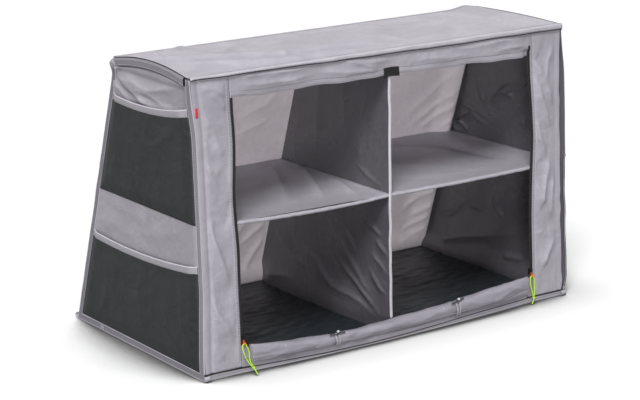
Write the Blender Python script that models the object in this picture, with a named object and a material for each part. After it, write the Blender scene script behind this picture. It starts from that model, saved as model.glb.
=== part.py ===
# Tent storage cupboard: a frame of tubes and two springy bars, and over it a cloth cover with
# two bays, two shelves, side pockets and a door that is unzipped and rolled down on the sill.
# Metres, +Z up, the front faces -Y. The origin is on the ground, under the middle.

import math

import bmesh
import bpy
from mathutils import Vector

# Driving dimensions of the whole cover
WIDTH = 1.000
DEPTH = 0.536
HEIGHT = 0.640
FRONT_SETBACK = 0.030
REAR_SETBACK = 0.210
CLOTH = 0.0015
GAP = 0.0003
LOOSE = 0.0006

# Frame
TUBE_R = 0.00635
TUBE_WALL = 0.0010
SPIGOT_LENGTH = 0.028
BAR_R = 0.00395
SOCKET_LENGTH = 0.022
SOCKET_WALL = 0.0018
LEFT_RISE = 0.014
RIGHT_RISE = 0.003

# Webbing round the sides, and the sleeve of each springy bar
BINDING_WIDTH = 0.0165
BINDING_THICK = 0.0012
SLEEVE_DROP = 0.0105
SLEEVE_PROUD = 0.0030
SLEEVE_DEPTH = 0.0245
SLEEVE_WALL = 0.0013
SLEEVE_CHAMFER = 0.003

# Roof
ROOF_LIP_OUT = 0.0060
ROOF_LIP_DROP = 0.0090
ROOF_OVERHANG = 0.0035
ROOF_EDGE_ROUND = 0.0022
RISE_FLAT = 0.035
RISE_REACH = 0.300
ROOF_FOLD = 0.0016

# Back and sides
BACK_BILLOW = 0.005
SIDE_FOLD = 0.005

# Front
ZIP_X = 0.3990
TAPE_WIDTH = 0.0068
TAPE_THICK = 0.0010
COIL_HALF = 0.0011
COIL_ROOM = 0.0005
TAPE_BELOW_SLIDER = 0.004
HEADER_DROP = 0.052
HEADER_HEM_Z = HEIGHT - HEADER_DROP
HEADER_SAG = 0.004
HEADER_FOLD = 0.0022
CORNER_ROUND = 0.0060
JAMB_RETURN = 0.0120
JAMB_FOLD = 0.0030
SILL_THICK = 0.0024
SILL_BULGE = 0.016

# Door, rolled down on the sill
ROLL_END_X = 0.386
ROLL_LOW_X = -0.140
ROLL_TOP_LOW = 0.0415
ROLL_TOP_LEFT = 0.0600
ROLL_TOP_RIGHT = 0.0660
ROLL_DEPTH_MIDDLE = 0.0135
ROLL_DEPTH_END = 0.0065
ROLL_FOLD = 0.0011
ROLL_SIDES = 16
ROLL_STATIONS = 40

# Toggle ties of the rolled door
TOGGLE_XS = {"left": -0.170, "right": 0.164}
TOGGLE_TILTS = {"left": 0.0, "right": -12.0}
TOGGLE_LENGTH = 0.041
TOGGLE_R = 0.0019
TOGGLE_HUB_R = 0.0030
TOGGLE_HUB_LENGTH = 0.0075
TOGGLE_HOLE_R = 0.0015
TIE_WIDTH = 0.013
TIE_THICK = 0.0012
TIE_POST_R = 0.0011
TIE_KNOT_R = 0.0025
TIE_STEPS = (-3, 4)

# Divider, shelves and the tab over the divider
DIVIDER_X = -0.005
DIVIDER_BINDING_WIDTH = 0.008
DIVIDER_BINDING_THICK = 0.003
SHELF_Z = 0.3215
SHELF_HEM_R = 0.0042
SHELF_SAG = 0.012
SHELF_FRONT_SAG = {"left": 0.0085, "right": 0.0020}
TAB_WIDTH = 0.042
TAB_HEIGHT = 0.026
TAB_BELOW_HEM = 0.007
TAB_OFFSET_X = 0.0135

# Pockets on the sides; z of the bottom edge, and of the opening edge at the rear and front
LOWER_POCKET_REAR = 0.232
LOWER_POCKET_FRONT = 0.246
UPPER_POCKET_BOTTOM = 0.333
UPPER_POCKET_REAR_DROP = 0.080
UPPER_POCKET_FRONT_DROP = 0.066
POCKETS = {
    "lower": (BINDING_WIDTH + GAP, LOWER_POCKET_REAR, LOWER_POCKET_FRONT),
    "upper": (UPPER_POCKET_BOTTOM, HEIGHT - UPPER_POCKET_REAR_DROP, HEIGHT - UPPER_POCKET_FRONT_DROP),
}
POCKET_DIP = 0.012
POCKET_PUFF = 0.0070
POCKET_SLOPE = 0.026
POCKET_HEM = 0.014
POCKET_HEM_THICK = 0.0024

# Small tag on the front left seam
TAG_WIDTH = 0.0105
TAG_HEIGHT = 0.020
TAG_THICK = 0.0009
TAG_DROP = 0.065
TAG_Z = HEIGHT - TAG_DROP
TAG_FROM_SIDE = 0.0155

# Zip slider, its puller and the cord loop on it
SLIDER_Z = 0.0746
SLIDER_LENGTH = 0.014
SLIDER_WIDTH = 0.0092
WING_THICK = 0.0012
SLIDER_POST = 0.0027
SLIDER_POST_INSET = 0.0004
EYE_LENGTH = 0.0100
EYE_WIRE = 0.0010
EYE_ROOM = 0.0024
PULL_BAR_R = 0.0007
PULL_LEG = 0.0012
PULL_LEG_ROOM = 0.0005
BARREL_R = 0.0035
BARREL_BORE_R = 0.0025
BARREL_WIDTH = 0.0044
BARREL_DROP = 0.0083
BARREL_OUT = 0.0008
CORD_R = 0.0013
KNOT_R = 0.0034

# Routes of the cord loops below the puller: from one side of the knot, over the barrel and
# back to the knot's other side. Each point is (x from the slider, out from the front, z).
CORD_ROUTES = {
    "left": [
        (0.0136, 0.0128, 0.0165), (0.0098, 0.0118, 0.0225), (0.0078, 0.0105, 0.0310),
        (0.0086, 0.0088, 0.0420), (0.0072, 0.0068, 0.0520), (0.0050, 0.0053, 0.0583),
        (0.0036, 0.0043, 0.0628), (0.0000, 0.0041, 0.0643), (-0.0036, 0.0043, 0.0628),
        (-0.0050, 0.0053, 0.0583), (-0.0054, 0.0068, 0.0520), (-0.0030, 0.0092, 0.0400),
        (0.0018, 0.0112, 0.0290), (0.0080, 0.0126, 0.0190), (0.0112, 0.0134, 0.0148),
    ],
    "right": [
        (-0.0018, 0.0096, 0.0178), (-0.0030, 0.0092, 0.0250), (-0.0056, 0.0084, 0.0350),
        (-0.0072, 0.0073, 0.0450), (-0.0064, 0.0060, 0.0530), (-0.0050, 0.0053, 0.0583),
        (-0.0036, 0.0043, 0.0628), (0.0000, 0.0041, 0.0643), (0.0036, 0.0043, 0.0628),
        (0.0050, 0.0053, 0.0583), (0.0054, 0.0060, 0.0520), (0.0048, 0.0078, 0.0400),
        (0.0036, 0.0088, 0.0290), (0.0022, 0.0094, 0.0225), (0.0016, 0.0096, 0.0178),
    ],
}
KNOT_PLACES = {"left": (0.0145, 0.0145, 0.0123), "right": (0.0000, 0.0100, 0.0140)}
TAIL_ROUTES = {
    "left": [(0.0150, 0.0160, 0.0110), (0.0140, 0.0240, 0.0060), (0.0122, 0.0330, 0.0020)],
    "right": [(-0.0010, 0.0110, 0.0120), (-0.0060, 0.0140, 0.0070), (-0.0110, 0.0175, 0.0024)],
}

# Derived places
HALF_WIDTH = WIDTH / 2
SIDE_OUTER = HALF_WIDTH - BINDING_THICK - GAP
SIDE_INNER = SIDE_OUTER - CLOTH
FRONT_LEAN = math.atan(FRONT_SETBACK / HEIGHT)
REAR_LEAN = math.atan(REAR_SETBACK / HEIGHT)
FIT_R = (TUBE_R + GAP) / math.tan((math.pi / 2 - REAR_LEAN) / 2)
CORNER_INSET = CLOTH + GAP + FIT_R
CORNER_X = SIDE_INNER - GAP - FIT_R
CORNER_LOW_Z = CORNER_INSET
CORNER_TOP_Z = HEIGHT - CORNER_INSET
SIDE_TOP_Z = CORNER_TOP_Z - SLEEVE_DROP - LOOSE
SILL_HEIGHT = CORNER_LOW_Z + TUBE_R
COVER_TOP_Z = HEIGHT - CLOTH - GAP
TAPE_OUTER_X = ZIP_X + COIL_HALF + TAPE_WIDTH - 2 * COIL_HALF
JAMB_INNER_X = TAPE_OUTER_X + GAP
SIDES = {"left": -1, "right": 1}


def front_y(z):
    return -DEPTH / 2 + FRONT_SETBACK * z / HEIGHT


def rear_y(z):
    return DEPTH / 2 - REAR_SETBACK * z / HEIGHT


def smooth(t):
    t = min(max(t, 0.0), 1.0)
    return t * t * (3 - 2 * t)


def bump(t):
    return 4 * t * (1 - t) if 0 < t < 1 else 0.0


def spread(start, end, count):
    return [start + (end - start) * i / count for i in range(count + 1)]


def front_corner(z):
    return Vector((0, front_y(z) + CORNER_INSET / math.cos(FRONT_LEAN), z))


def rear_corner(z):
    return Vector((0, rear_y(z) - CORNER_INSET / math.cos(REAR_LEAN), z))


CORNERS = {
    "bottom_front": front_corner(CORNER_LOW_Z),
    "bottom_rear": rear_corner(CORNER_LOW_Z),
    "top_front": front_corner(CORNER_TOP_Z),
    "top_rear": rear_corner(CORNER_TOP_Z),
}
BAR_SPAN = CORNERS["top_rear"].y - CORNERS["top_front"].y


def bar_slope(rise):
    return 4 * rise / (BAR_SPAN + 2 * SOCKET_LENGTH)


def bar_rise(y, rise):
    # Height of a springy bar above its corner fittings: straight in the sockets, arched between
    slope = bar_slope(rise)
    straight = SOCKET_LENGTH * math.cos(math.atan(slope))
    arch = BAR_SPAN - 2 * straight
    along = min(y - CORNERS["top_front"].y, CORNERS["top_rear"].y - y)
    if along <= 0:
        return 0.0
    if along <= straight:
        return slope * along
    past = along - straight
    return slope * (straight + past * (1 - past / arch))


def side_rise(side):
    return LEFT_RISE if side < 0 else RIGHT_RISE


def sill_bulge(x):
    return SILL_BULGE * bump((x + ZIP_X) / (2 * ZIP_X))


# Materials

def material(name, rgb, roughness, metallic=0.0):
    made = bpy.data.materials.new(name)
    made.use_nodes = True
    shader = made.node_tree.nodes["Principled BSDF"]
    shader.inputs["Base Color"].default_value = (*rgb, 1)
    shader.inputs["Roughness"].default_value = roughness
    shader.inputs["Metallic"].default_value = metallic
    return made


def make_materials():
    return {
        "cover": material("grey_polyester", (0.36, 0.35, 0.38), 0.6),
        "back": material("pale_polyester", (0.44, 0.42, 0.42), 0.6),
        "dark": material("dark_grey_polyester", (0.06, 0.06, 0.065), 0.6),
        "black": material("black_polyester", (0.022, 0.024, 0.025), 0.65),
        "ground": material("black_groundsheet", (0.012, 0.014, 0.016), 0.45),
        "webbing": material("grey_webbing", (0.24, 0.24, 0.25), 0.75),
        "pale": material("pale_binding", (0.50, 0.50, 0.52), 0.6),
        "steel": material("coated_steel", (0.10, 0.10, 0.11), 0.4, 0.6),
        "fibreglass": material("fibreglass_rod", (0.03, 0.03, 0.03), 0.35),
        "fitting": material("black_nylon", (0.015, 0.015, 0.015), 0.5),
        "zip": material("black_zip_tape", (0.008, 0.008, 0.009), 0.6),
        "slider": material("black_slider", (0.02, 0.02, 0.02), 0.35, 0.5),
        "orange": material("orange_plastic", (0.80, 0.16, 0.02), 0.4),
        "lime": material("lime_cord", (0.50, 0.85, 0.04), 0.6),
        "toggle": material("smoky_acetal", (0.12, 0.13, 0.14), 0.3),
        "tag": material("red_label", (0.75, 0.03, 0.04), 0.6),
    }


# Shapes

def add_object(name, shape, finish, smooth_angle=None):
    mesh = bpy.data.meshes.new(name)
    bmesh.ops.recalc_face_normals(shape, faces=shape.faces)
    shape.to_mesh(mesh)
    shape.free()
    mesh.materials.append(finish)
    if smooth_angle:
        mesh.shade_smooth()
        mesh.set_sharp_from_angle(angle=math.radians(smooth_angle))
    made = bpy.data.objects.new(name, mesh)
    bpy.context.collection.objects.link(made)
    return made


def solid_sheet(name, us, vs, place, finish):
    # A closed thin sheet: place(u, v, side) gives its outer face (side 0) and inner face (1)
    shape = bmesh.new()
    outer, inner = [
        [[shape.verts.new(place(u, v, side)) for u in us] for v in vs] for side in (0, 1)
    ]
    last_row = len(vs) - 1
    last_col = len(us) - 1
    for j in range(last_row):
        for i in range(last_col):
            for layer in (outer, inner):
                shape.faces.new((layer[j][i], layer[j][i + 1], layer[j + 1][i + 1], layer[j + 1][i]))
    rim = [(0, i) for i in range(last_col)]
    rim += [(j, last_col) for j in range(last_row)]
    rim += [(last_row, i) for i in range(last_col, 0, -1)]
    rim += [(j, 0) for j in range(last_row, 0, -1)]
    for (j, i), (k, h) in zip(rim, rim[1:] + rim[:1]):
        shape.faces.new((outer[j][i], outer[k][h], inner[k][h], inner[j][i]))
    return add_object(name, shape, finish, 40)


def bridge(shape, rings):
    for ring, following in zip(rings, rings[1:]):
        count = len(ring)
        for i in range(count):
            k = (i + 1) % count
            shape.faces.new((ring[i], ring[k], following[k], following[i]))


def solid_loft(name, rings, finish, smooth_angle=40):
    # A closed body through rings of points, with a flat cap at each end
    shape = bmesh.new()
    made = [[shape.verts.new(point) for point in ring] for ring in rings]
    bridge(shape, made)
    shape.faces.new(made[0])
    shape.faces.new(made[-1])
    return add_object(name, shape, finish, smooth_angle)


def hollow_loft(name, outer_rings, inner_rings, finish, smooth_angle=40):
    # A pipe through rings of points, open at both ends
    shape = bmesh.new()
    outer = [[shape.verts.new(point) for point in ring] for ring in outer_rings]
    inner = [[shape.verts.new(point) for point in ring] for ring in inner_rings]
    bridge(shape, outer)
    bridge(shape, inner)
    for end in (0, -1):
        count = len(outer[end])
        for i in range(count):
            k = (i + 1) % count
            shape.faces.new((outer[end][i], outer[end][k], inner[end][k], inner[end][i]))
    return add_object(name, shape, finish, smooth_angle)


def ring_about(centre, direction, radius, sides):
    across = direction.cross(Vector((0, 0, 1)))
    if across.length < 0.5:
        across = direction.cross(Vector((0, 1, 0)))
    across.normalize()
    other = direction.cross(across).normalized()
    return [
        centre + radius * (math.cos(math.tau * i / sides) * across + math.sin(math.tau * i / sides) * other)
        for i in range(sides)
    ]


def rod(name, start, end, radius, finish, sides=12):
    direction = (end - start).normalized()
    rings = [ring_about(point, direction, radius, sides) for point in (start, end)]
    return solid_loft(name, rings, finish)


def bent_rod(name, points, radius, finish, sides=10):
    rings = []
    for i, point in enumerate(points):
        before = points[max(i - 1, 0)]
        after = points[min(i + 1, len(points) - 1)]
        rings.append(ring_about(point, (after - before).normalized(), radius, sides))
    return solid_loft(name, rings, finish)


def prism(name, outline, offset, finish):
    # A flat outline, pushed along offset
    shape = bmesh.new()
    near = [shape.verts.new(point) for point in outline]
    far = [shape.verts.new(point + offset) for point in outline]
    bridge(shape, [near, far])
    shape.faces.new(near)
    shape.faces.new(far)
    return add_object(name, shape, finish)


def ball(name, centre, radius, finish):
    shape = bmesh.new()
    bmesh.ops.create_uvsphere(shape, u_segments=12, v_segments=7, radius=radius)
    bmesh.ops.translate(shape, verts=shape.verts, vec=centre)
    return add_object(name, shape, finish, 60)


def combine(target, tool, operation):
    # Joins a tool to its target or cuts it out, and removes the tool
    cut = target.modifiers.new(operation.lower(), "BOOLEAN")
    cut.operation = operation
    cut.object = tool
    scene_state = bpy.context.evaluated_depsgraph_get()
    result = bpy.data.meshes.new_from_object(target.evaluated_get(scene_state))
    target.modifiers.clear()
    target.data = result
    result.shade_smooth()
    result.set_sharp_from_angle(angle=math.radians(40))
    bpy.data.objects.remove(tool)


def smooth_route(points, step):
    # Points about one step apart on a smooth curve through the route's own points
    made = []
    for i in range(len(points) - 1):
        a = points[max(i - 1, 0)]
        b = points[i]
        c = points[i + 1]
        d = points[min(i + 2, len(points) - 1)]
        pieces = max(1, round((c - b).length / step))
        for k in range(pieces):
            t = k / pieces
            made.append(0.5 * (2 * b + (c - a) * t + (2 * a - 5 * b + 4 * c - d) * t * t
                               + (3 * b - a - 3 * c + d) * t * t * t))
    made.append(points[-1])
    return made


def set_origin(made, point):
    # Puts an object's origin on its joint, with its shape left in place
    for vertex in made.data.vertices:
        vertex.co -= point
    made.location = point


# Frame

def tube(name, start_corner, end_corner, finish):
    direction = (end_corner - start_corner).normalized()
    ends = [start_corner + direction * (FIT_R + GAP), end_corner - direction * (FIT_R + GAP)]
    outer = [ring_about(point, direction, TUBE_R, 14) for point in ends]
    inner = [ring_about(point, direction, TUBE_R - TUBE_WALL, 14) for point in ends]
    return hollow_loft(name, outer, inner, finish)


def at_side(corner, side):
    return Vector((side * CORNER_X, corner.y, corner.z))


def socket_direction(forward, rise):
    return Vector((0, forward, bar_slope(rise))).normalized()


def corner_fitting(name, place, side, finish):
    corner = at_side(CORNERS[place], side)
    made = ball(name, corner, FIT_R, finish)
    height, end = place.split("_")
    upright_end = CORNERS[("top_" if height == "bottom" else "bottom_") + end]
    spigots = [Vector((-side, 0, 0)), (upright_end - CORNERS[place]).normalized()]
    forward = 1 if end == "front" else -1
    if height == "bottom":
        spigots.append(Vector((0, forward, 0)))
    for direction in spigots:
        reach = corner + direction * SPIGOT_LENGTH
        combine(made, rod("spigot", corner, reach, TUBE_R - TUBE_WALL - GAP, finish), "UNION")
    if height == "top":
        direction = socket_direction(forward, side_rise(side))
        mouth = corner + direction * SOCKET_LENGTH
        collar_r = BAR_R + GAP + SOCKET_WALL
        combine(made, rod("collar", corner, mouth, collar_r, finish), "UNION")
        bottom = corner + direction * FIT_R
        past_mouth = mouth + direction * SOCKET_WALL
        combine(made, rod("bore", bottom, past_mouth, BAR_R + GAP, finish), "DIFFERENCE")


def springy_bar(name, side, finish):
    rise = side_rise(side)
    angle = math.atan(bar_slope(rise))
    start_y = CORNERS["top_front"].y + (FIT_R + GAP) * math.cos(angle)
    end_y = CORNERS["top_rear"].y - (FIT_R + GAP) * math.cos(angle)
    socket_reach = SOCKET_LENGTH * math.cos(angle)
    arch_ys = spread(CORNERS["top_front"].y + socket_reach, CORNERS["top_rear"].y - socket_reach, 8)
    points = [
        Vector((side * CORNER_X, y, CORNER_TOP_Z + bar_rise(y, rise)))
        for y in [start_y, *arch_ys, end_y]
    ]
    bent_rod(name, points, BAR_R, finish, 10)


def make_frame(finishes):
    for place, corner in CORNERS.items():
        tube(place + "_rail", at_side(corner, -1), at_side(corner, 1), finishes["steel"])
    for side_name, side in SIDES.items():
        for end in ("front", "rear"):
            low = at_side(CORNERS["bottom_" + end], side)
            high = at_side(CORNERS["top_" + end], side)
            tube(f"{side_name}_{end}_upright", low, high, finishes["steel"])
        front = at_side(CORNERS["bottom_front"], side)
        rear = at_side(CORNERS["bottom_rear"], side)
        tube(side_name + "_bottom_bar", front, rear, finishes["steel"])
        springy_bar(side_name + "_top_bar", side, finishes["fibreglass"])
        for place in CORNERS:
            corner_fitting(f"{side_name}_{place}_fitting", place, side, finishes["fitting"])


# Roof, back and sides

def roof_height(x, y):
    left_far = (x + HALF_WIDTH - RISE_FLAT) / RISE_REACH
    right_far = (HALF_WIDTH - x - RISE_FLAT) / RISE_REACH
    risen = bar_rise(y, LEFT_RISE) * (1 - smooth(left_far))
    risen += bar_rise(y, RIGHT_RISE) * (1 - smooth(right_far))
    inside = smooth((abs(HALF_WIDTH - abs(x)) - 0.03) / 0.08)
    across = (y - front_y(HEIGHT)) / (rear_y(HEIGHT) - front_y(HEIGHT))
    fold = ROOF_FOLD * inside * bump(across) * math.sin(34 * x + 19 * y) * math.sin(11 * x - 15 * y)
    return HEIGHT + risen + fold


def make_roof(finish):
    half = HALF_WIDTH + ROOF_OVERHANG
    front = front_y(HEIGHT) - ROOF_LIP_OUT
    rear = rear_y(HEIGHT) + ROOF_LIP_OUT
    low = HEIGHT - ROOF_LIP_DROP
    flat_ys = spread(front + ROOF_EDGE_ROUND, rear - ROOF_EDGE_ROUND, 10)
    outer = [(front, low), (front, HEIGHT - ROOF_EDGE_ROUND)]
    outer += [(y, HEIGHT) for y in flat_ys]
    outer += [(rear, HEIGHT - ROOF_EDGE_ROUND), (rear, low)]
    inner = [(front + CLOTH, low), (front + CLOTH, HEIGHT - ROOF_EDGE_ROUND)]
    inner += [(y, HEIGHT - CLOTH) for y in flat_ys]
    inner += [(rear - CLOTH, HEIGHT - ROOF_EDGE_ROUND), (rear - CLOTH, low)]

    def place(x, row, side):
        y, z = (outer, inner)[side][row]
        return Vector((x, y, z + roof_height(x, y) - HEIGHT))

    solid_sheet("roof_panel", spread(-half, half, 22), range(len(outer)), place, finish)


def make_back(finish):
    def billow(x, z):
        if x < DIVIDER_X:
            across = (x + SIDE_OUTER) / (DIVIDER_X + SIDE_OUTER)
        else:
            across = (x - DIVIDER_X) / (SIDE_OUTER - DIVIDER_X)
        if z < SHELF_Z:
            up = z / SHELF_Z
        else:
            up = (z - SHELF_Z) / (COVER_TOP_Z - SHELF_Z)
        return BACK_BILLOW * bump(across) * bump(up)

    def place(x, z, side):
        inward = side * CLOTH / math.cos(REAR_LEAN)
        return Vector((x, rear_y(z) + billow(x, z) - inward, z))

    us = spread(-SIDE_OUTER, DIVIDER_X, 7) + spread(DIVIDER_X, SIDE_OUTER, 7)[1:]
    vs = spread(0, SHELF_Z, 5) + spread(SHELF_Z, COVER_TOP_Z, 5)[1:]
    solid_sheet("back_panel", us, vs, place, finish)


def make_side(side_name, side, finish):
    def fold(y, z):
        # Folds that fan out from the rear top corner, above the upper pocket
        top_rear = rear_y(SIDE_TOP_Z)
        angle = math.atan2(SIDE_TOP_Z - z, top_rear - y + 0.01)
        far = math.hypot(SIDE_TOP_Z - z, top_rear - y)
        window = smooth((far - 0.03) / 0.05) * smooth((y - front_y(z) - 0.03) / 0.08)
        window *= smooth((SIDE_TOP_Z - z - 0.004) / 0.015) * smooth((z - POCKETS["upper"][1]) / 0.012)
        return SIDE_FOLD * window * (0.5 + 0.5 * math.sin(15 * angle))

    def place(across, up, face):
        near = front_y(up * SIDE_TOP_Z) + JAMB_RETURN + GAP
        far = rear_y(up * SIDE_TOP_Z) - CLOTH / math.cos(REAR_LEAN) - GAP
        y = near + across * (far - near)
        top = SIDE_TOP_Z + bar_rise(y, side_rise(side))
        z = up * SIDE_TOP_Z if up < 1 else top
        x = SIDE_OUTER - face * CLOTH - fold(y, up * SIDE_TOP_Z)
        return Vector((side * x, y, z))

    vs = [0, 0.25, 0.5, 0.75, 0.90, 0.925, 0.95, 0.975, 1]
    solid_sheet(side_name + "_side_panel", spread(0, 1, 16), vs, place, finish)


def make_side_binding(side_name, side, finish):
    top = SIDE_TOP_Z
    width = BINDING_WIDTH
    outline = [
        (front_y(0), 0), (rear_y(0), 0), (rear_y(top), top), (rear_y(top) - width, top),
        (rear_y(width) - width, width), (front_y(width) + width, width),
        (front_y(top) + width, top), (front_y(top), top),
    ]
    inner = side * (HALF_WIDTH - BINDING_THICK)
    points = [Vector((inner, y, z)) for y, z in outline]
    prism(side_name + "_edge_binding", points, Vector((side * BINDING_THICK, 0, 0)), finish)


def make_sleeve(side_name, side, finish):
    start = CORNERS["top_front"].y + FIT_R + LOOSE
    end = CORNERS["top_rear"].y - FIT_R - LOOSE
    outer_x = HALF_WIDTH + SLEEVE_PROUD
    inner_x = outer_x - SLEEVE_DEPTH
    up = CORNER_INSET - CLOTH - LOOSE

    def section(y, shrink):
        rise = bar_rise(y, side_rise(side))
        low = CORNER_TOP_Z - SLEEVE_DROP + rise + shrink
        high = CORNER_TOP_Z + up + rise - shrink
        near = inner_x + shrink
        far = outer_x - shrink
        cut = SLEEVE_CHAMFER
        profile = [
            (near + cut, low), (far - cut, low), (far, low + cut), (far, high - cut),
            (far - cut, high), (near + cut, high), (near, high - cut), (near, low + cut),
        ]
        return [Vector((side * x, y, z)) for x, z in profile]

    ys = spread(start, end, 10)
    outer = [section(y, 0) for y in ys]
    inner = [section(y, SLEEVE_WALL) for y in ys]
    hollow_loft(side_name + "_top_sleeve", outer, inner, finish)


def make_pocket(side_name, side, level, finish):
    bottom, rear_top, front_top = POCKETS[level]

    def place(row, col, face):
        across, up = row, col
        top = front_top + across * (rear_top - front_top) - POCKET_DIP * bump(across)
        z = bottom + up * (top - bottom)
        near = front_y(z) + BINDING_WIDTH + GAP
        far = rear_y(z) - BINDING_WIDTH - GAP
        y = near + across * (far - near)
        edge = min(y - near, far - y, z - bottom)
        puff = POCKET_PUFF * smooth(edge / POCKET_SLOPE)
        hem = smooth((z - top + POCKET_HEM) / 0.003 + 0.5)
        thick = CLOTH + hem * (POCKET_HEM_THICK - CLOTH)
        return Vector((side * (SIDE_OUTER + GAP + puff + (1 - face) * thick), y, z))

    height = rear_top - bottom
    near_hem = 1 - (POCKET_HEM + 0.0016) / height
    in_hem = 1 - (POCKET_HEM - 0.0016) / height
    ups = [0, 0.06, 0.12, 0.40, 0.68, near_hem, in_hem, 1]
    acrosses = [0, 0.04, 0.09, 0.2, 0.35, 0.5, 0.65, 0.8, 0.91, 0.96, 1]
    solid_sheet(f"{side_name}_{level}_pocket", acrosses, ups, place, finish)


# Front

def make_jamb(side_name, side, finish):
    corner_x = SIDE_OUTER - CORNER_ROUND
    flat = [("flat", x) for x in spread(JAMB_INNER_X, corner_x, 7)]
    arc = [("arc", math.radians(a)) for a in (30, 60, 90)]
    path = flat + arc + [("back", JAMB_RETURN)]

    def fold(x, z):
        across = (x - JAMB_INNER_X - 0.008) / (CORNER_X - TUBE_R - JAMB_INNER_X - 0.008)
        up = (z - SILL_HEIGHT) / (COVER_TOP_Z - SILL_HEIGHT)
        lean = math.sin(26 * z + 34 * (x - JAMB_INNER_X) + (2.0 if side > 0 else 0.6))
        return JAMB_FOLD * bump(across) * smooth(6 * up) * smooth(6 * (1 - up)) * lean

    def place(step, z, face):
        kind, value = path[step]
        inward = face * CLOTH
        if kind == "flat":
            return Vector((side * value, front_y(z) + inward - fold(value, z), z))
        if kind == "arc":
            radius = CORNER_ROUND - inward
            x = corner_x + radius * math.sin(value)
            y = front_y(z) + CORNER_ROUND - radius * math.cos(value)
            return Vector((side * x, y, z))
        return Vector((side * (SIDE_OUTER - inward), front_y(z) + value, z))

    vs = spread(SILL_HEIGHT + GAP, COVER_TOP_Z, 16)
    solid_sheet(f"front_{side_name}_jamb", range(len(path)), vs, place, finish)


def header_bottom(x):
    return HEADER_HEM_Z - HEADER_SAG * bump((x + JAMB_INNER_X) / (2 * JAMB_INNER_X))


def make_header(finish):
    half = JAMB_INNER_X - GAP

    def fold(x, up):
        from_tab = smooth((abs(x - DIVIDER_X - TAB_OFFSET_X) - TAB_WIDTH / 2 - 0.005) / 0.03)
        from_end = smooth((half - abs(x)) / 0.03)
        return HEADER_FOLD * bump(up) * from_tab * from_end * math.sin(38 * x + 5 * up)

    def place(x, up, face):
        bottom = header_bottom(x)
        z = bottom + up * (COVER_TOP_Z - bottom)
        return Vector((x, front_y(z) + face * CLOTH - fold(x, up), z))

    solid_sheet("front_header", spread(-half, half, 24), (0, 0.33, 0.66, 1), place, finish)


def make_sill(finish):
    def place(x, z, face):
        return Vector((x, front_y(0) - sill_bulge(x) + face * SILL_THICK, z))

    xs = [-SIDE_OUTER, *spread(-ZIP_X, ZIP_X, 20), SIDE_OUTER]
    solid_sheet("front_sill", xs, (0, SILL_HEIGHT), place, finish)


def make_floor(finish):
    half = SIDE_INNER - GAP
    front = [
        Vector((x, front_y(0) - sill_bulge(x) + SILL_THICK + GAP, 0))
        for x in [-half, *spread(-ZIP_X, ZIP_X, 20), half]
    ]
    rear = DEPTH / 2 - CLOTH / math.cos(REAR_LEAN) - GAP
    rear -= CLOTH * math.tan(REAR_LEAN)
    outline = front + [Vector((half, rear, 0)), Vector((-half, rear, 0))]
    prism("floor_panel", outline, Vector((0, 0, CLOTH)), finish)


def make_divider(panel_finish, binding_finish):
    roll_back = roll_centre_y(DIVIDER_X) + roll_half_depth(DIVIDER_X) + LOOSE
    roll_top = roll_top_z(DIVIDER_X) + LOOSE
    behind = DIVIDER_BINDING_THICK + 2 * GAP
    reach = TUBE_R + LOOSE
    rear_in = CLOTH / math.cos(REAR_LEAN) + GAP
    low_front = CORNERS["bottom_front"]
    low_rear = CORNERS["bottom_rear"]
    top_front = CORNERS["top_front"]
    top_rear = CORNERS["top_rear"]
    bottom = CLOTH + GAP
    notch_low = low_front.z + reach
    notch_top = top_front.z - reach
    start = max(roll_back, low_front.y + reach)
    outline = [
        (start, bottom), (low_rear.y - reach, bottom), (low_rear.y - reach, notch_low),
        (rear_y(notch_low) - rear_in, notch_low), (rear_y(notch_top) - rear_in, notch_top),
        (top_rear.y - reach, notch_top), (top_rear.y - reach, COVER_TOP_Z - ROOF_FOLD),
        (top_front.y + reach, COVER_TOP_Z - ROOF_FOLD), (top_front.y + reach, notch_top),
        (front_y(notch_top) + behind, notch_top), (front_y(roll_top) + behind, roll_top),
        (start, roll_top),
    ]
    left_face = DIVIDER_X - CLOTH / 2
    points = [Vector((left_face, y, z)) for y, z in outline]
    prism("divider_panel", points, Vector((CLOTH, 0, 0)), panel_finish)
    half = DIVIDER_BINDING_WIDTH / 2
    top = header_bottom(DIVIDER_X) - GAP
    strip = []
    for z in (roll_top, top):
        near = front_y(z) + GAP
        far = near + DIVIDER_BINDING_THICK
        strip.append([
            Vector((DIVIDER_X - half, near, z)), Vector((DIVIDER_X + half, near, z)),
            Vector((DIVIDER_X + half, far, z)), Vector((DIVIDER_X - half, far, z)),
        ])
    solid_loft("divider_front_binding", strip, binding_finish)


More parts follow.
